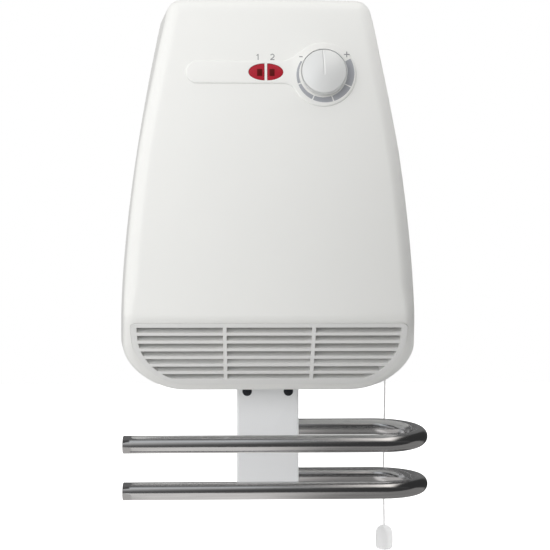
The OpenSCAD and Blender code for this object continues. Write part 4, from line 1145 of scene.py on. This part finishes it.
pull_foot = Matrix.Translation(PULL_PLACE - Vector((0, 0, PULL_H)))
pull = lathe("cord_pull_bell", pull_profile(), pull_foot, 120, flutes)
milk_white = moulded("milk_white", srgb(246, 246, 246), 0.35, 0.03, 700.0, 0.1, Subsurface_Weight=0.25,
                     Subsurface_Radius=(0.004, 0.004, 0.004))
hand_over(pull, milk_white, "pull", ["cord_pull"], 40)

# %% [markdown]
# ## What shows through the slots
# Behind the outlet are the air duct, the heating element and the fan. Most of
# these CAD solids have the right shape and only need their finish.

# %% Finishes for the CAD solids
finishes = {
    white_trim: ["cord_guide", "switch_plunger"],
    lamp_glass: ["lamp_left", "lamp_right"],
    dark_plastic: ["lamp_holder", "thermostat_body", "pull_switch_body", "thermal_cutout"],
    black_rubber: ["cable_grommet", "impeller_hub", "bearing_mount", "motor_spacers", "rail_end_caps"],
    zinc_steel: ["thermostat_spindle", "thermostat_nut", "control_bracket", "control_screws", "fan_scroll",
                 "fan_tongue", "duct_side_left", "duct_side_right", "fan_stub_shaft", "motor_shaft", "motor_rotor",
                 "motor_bracket_inner", "motor_bracket_outer", "motor_screws", "thermal_fuse", "rail_inserts",
                 "rail_screws", "bracket_screws", "case_screws", "plunger_spring", "switch_screws"],
    lamination: ["motor_stator"],
    copper_winding: ["motor_coil"],
    bronze: ["bearing_bush"],
    rolled_aluminium: ["fan_impeller", "heating_bar_rear", "heating_bar_front"],
    mica_board: ["element_frame"],
    terminal_plastic: ["terminal_block"],
}
for material, names in finishes.items():
    for name in names:
        nodes[name].data.materials.clear()
        nodes[name].data.materials.append(material)
shown = {n for names in finishes.values() for n in names}
print(len(shown), "CAD solids keep their shape; no finish yet:",
      sorted(n for n, o in nodes.items() if n not in shown and not o.hide_render))

# %% [markdown]
# ## Light and floor
# The photograph is cut out on white. A white background and a white floor come
# from what the camera sees of them, and the heater itself is lit by soft lamps at
# a plain level.

# %% Floor and world
def seen_directly(tree):
    """1 for rays that show the background: from the camera, a mirror or through glass."""
    path = tree.nodes.new("ShaderNodeLightPath")
    either = math_node(tree, "MAXIMUM", path.outputs["Is Glossy Ray"], path.outputs["Is Transmission Ray"])
    return math_node(tree, "MAXIMUM", path.outputs["Is Camera Ray"], either)


FLOOR_Z, FLOOR_HALF, FLOOR_GLOW, AMBIENT = -0.85, 6, 0.75, 0.94
studio_floor, tree, takes = new_material("studio_floor", Base_Color=(0.8, 0.8, 0.8, 1), Roughness=0.9,
                                         Emission_Color=(1, 1, 1, 1))
tree.links.new(math_node(tree, "MULTIPLY", seen_directly(tree), FLOOR_GLOW), takes["Emission Strength"])
floor = piece("floor", [(x, y, FLOOR_Z) for x, y in box(-FLOOR_HALF, FLOOR_HALF, -FLOOR_HALF, FLOOR_HALF)],
              [(0, 1, 2, 3)])
floor.data.materials.append(studio_floor)

world = bpy.data.worlds.new("studio")
bpy.context.scene.world = world
world.use_nodes = True
tree = world.node_tree
background = tree.nodes["Background"]
background.inputs["Color"].default_value = (1, 1, 1, 1)
shown = math_node(tree, "MULTIPLY", seen_directly(tree), 1 - AMBIENT)
tree.links.new(math_node(tree, "ADD", shown, AMBIENT), background.inputs["Strength"])

# %% [markdown]
# Polished steel shows the room round it more than its own colour. The photograph
# was taken in a dim studio with a few soft patches of light: a pale floor, a glow
# of the ceiling in front, a window on the left and a lamp high on the right. A
# dome with those patches stands round the heater, and one card hangs close in
# front of the rails, dark at its foot and on its right. Only reflections see these.
# A tube that lies along x sees a patch by its side, from the left (-1) to the right
# (1), and by its roll about x, where 0 faces the camera, 90 is up and 180 is the
# wall.

# %% Patches of the studio
# Each patch: its light, how warm it is, and from where to where it goes with its soft
# edges, first by side and then by roll. ROOM is the light of the rest of the room.
ROOM = 0.045
PATCHES = {
    "floor": (0.22, 0.03, (-1.2, 1.2, 0.1), (-155, -12, 6)),
    "floor_left": (0.3, 0.03, (-1.2, 0.12, 0.05), (-150, -12, 6)),
    "floor_in_front": (0.28, 0.02, (-0.3, 0.04, 0.05), (-140, -12, 6)),
    "ceiling_glow": (0.66, -0.03, (-0.34, 0.05, 0.05), (32, 64, 13)),
    "ceiling": (0.14, 0.0, (-1.2, 0.5, 0.1), (68, 220, 20)),
    "window": (0.95, -0.06, (-0.62, -0.27, 0.07), (-16, 36, 20)),
    "high_lamp": (1.25, 0.05, (0.125, 0.48, 0.03, 0.14), (42, 98, 18)),
}
STUDIO_CENTRE, STUDIO_REACH = Vector((0, -0.108, -0.25)), 5.0


# %% The light of the studio
def band(value, low, high, soft, soft_high=None):
    """1 between low and high, with edges that fade over twice soft."""
    rise = min(max((value - low) / soft / 2 + 0.5, 0), 1)
    fall = min(max((high - value) / (soft_high or soft) / 2 + 0.5, 0), 1)
    return rise * rise * (3 - 2 * rise) * fall * fall * (3 - 2 * fall)


def studio_level(side, roll):
    """The light from there, and how much of it is warm (above 0) or cool (below 0)."""
    parts = [(light * band(side, *across) * band(roll, *round_x), warm)
             for light, warm, across, round_x in PATCHES.values()]
    level = ROOM + sum(light for light, _ in parts)
    return level, sum(light * warm for light, warm in parts) / level


studio_glow, tree, _ = new_material("studio_glow")
level = add(tree, "ShaderNodeAttribute", {"attribute_name": "level"})
glow = add(tree, "ShaderNodeEmission", Color=level.outputs["Color"])
tree.links.new(glow.outputs[0], tree.nodes["Material Output"].inputs["Surface"])


def reflected_only(name, points, across, levels):
    """Rows of points as a sheet, with a (level, warmth) at each point, that only reflections see."""
    faces = [(i, i + 1, i + across + 1, i + across)
             for row in range(len(points) // across - 1) for i in range(row * across, row * across + across - 1)]
    made = piece(name, points, faces)
    shades = made.data.attributes.new("level", "FLOAT_COLOR", "POINT")
    for shade, (level, warm) in zip(shades.data, levels):
        shade.color = (level * (1 + warm), level, level * (1 - warm), 1)
    made.data.materials.append(studio_glow)
    for ray in ("camera", "diffuse", "transmission", "volume_scatter", "shadow"):
        setattr(made, "visible_" + ray, False)


# %% Dome and card
rolls = np.arange(-180, 181, 3)
points, levels = [], []
for side in np.sin(np.radians(np.arange(-90, 90.5, 1.5))):
    for roll in rolls:
        flat, turn = math.sqrt(max(0.0, 1 - side * side)), math.radians(roll)
        way = Vector((side, -flat * math.cos(turn), flat * math.sin(turn)))
        to_floor = (STUDIO_CENTRE.z - FLOOR_Z - 0.02) / max(-way.z, 1e-6)
        points.append(STUDIO_CENTRE + way * min(STUDIO_REACH, to_floor))
        levels.append(studio_level(side, roll))
reflected_only("studio_dome", points, len(rolls), levels)
CARD_Y, CARD_X, CARD_REACH = -0.258, (-0.16, 0.0, 0.1), 0.6
# The card's levels at each height, on its left, in its middle and on its right
CARD = {-0.306: (0.1, 0.07, 0.05), -0.24: (0.18, 0.08, 0.05), -0.2: (0.38, 0.1, 0.05), -0.18: (0.5, 0.16, 0.06),
        -0.165: (0.55, 0.22, 0.07), -0.14: (0.62, 0.32, 0.08), -0.115: (0.7, 0.46, 0.1)}
columns = [(-CARD_REACH, 0), *zip(CARD_X, range(3)), (CARD_REACH, 2)]
card = [((x, CARD_Y, z), (row[i], 0)) for z, row in CARD.items() for x, i in columns]
reflected_only("studio_card", [point for point, _ in card], len(columns), [level for _, level in card])
print("dome", len(points), "points")


# %% Lamps
def lamp(name, place, aim, size, power):
    """A square area lamp that reflections don't show."""
    data = bpy.data.lights.new(name, "AREA")
    data.size = size
    data.energy = power
    made = bpy.data.objects.new(name, data)
    link(made)
    made.location = place
    made.rotation_mode = "QUATERNION"
    made.rotation_quaternion = (Vector(aim) - Vector(place)).to_track_quat("-Z", "Y")
    made.visible_glossy = False


lamp("key", (-0.5, -0.75, 0.3), (0, -0.1, 0), 0.6, 2.0)
lamp("right_edge", (0.8, -0.15, 0.1), (0, -0.08, 0), 0.5, 2.2)

# An upright black card at the right keeps the room's light off that side
FLAG_X, FLAG_BOX = 0.24, box(-0.12, -0.7, -0.35, 0.19)
flag = piece("black_flag", [(FLAG_X, y, z) for y, z in FLAG_BOX], [(0, 1, 2, 3)])
flag.data.materials.append(new_material("black_flag", Base_Color=(0.02, 0.02, 0.02, 1))[0])
flag.visible_camera = flag.visible_glossy = False

bpy.context.scene.view_settings.view_transform = "Standard"
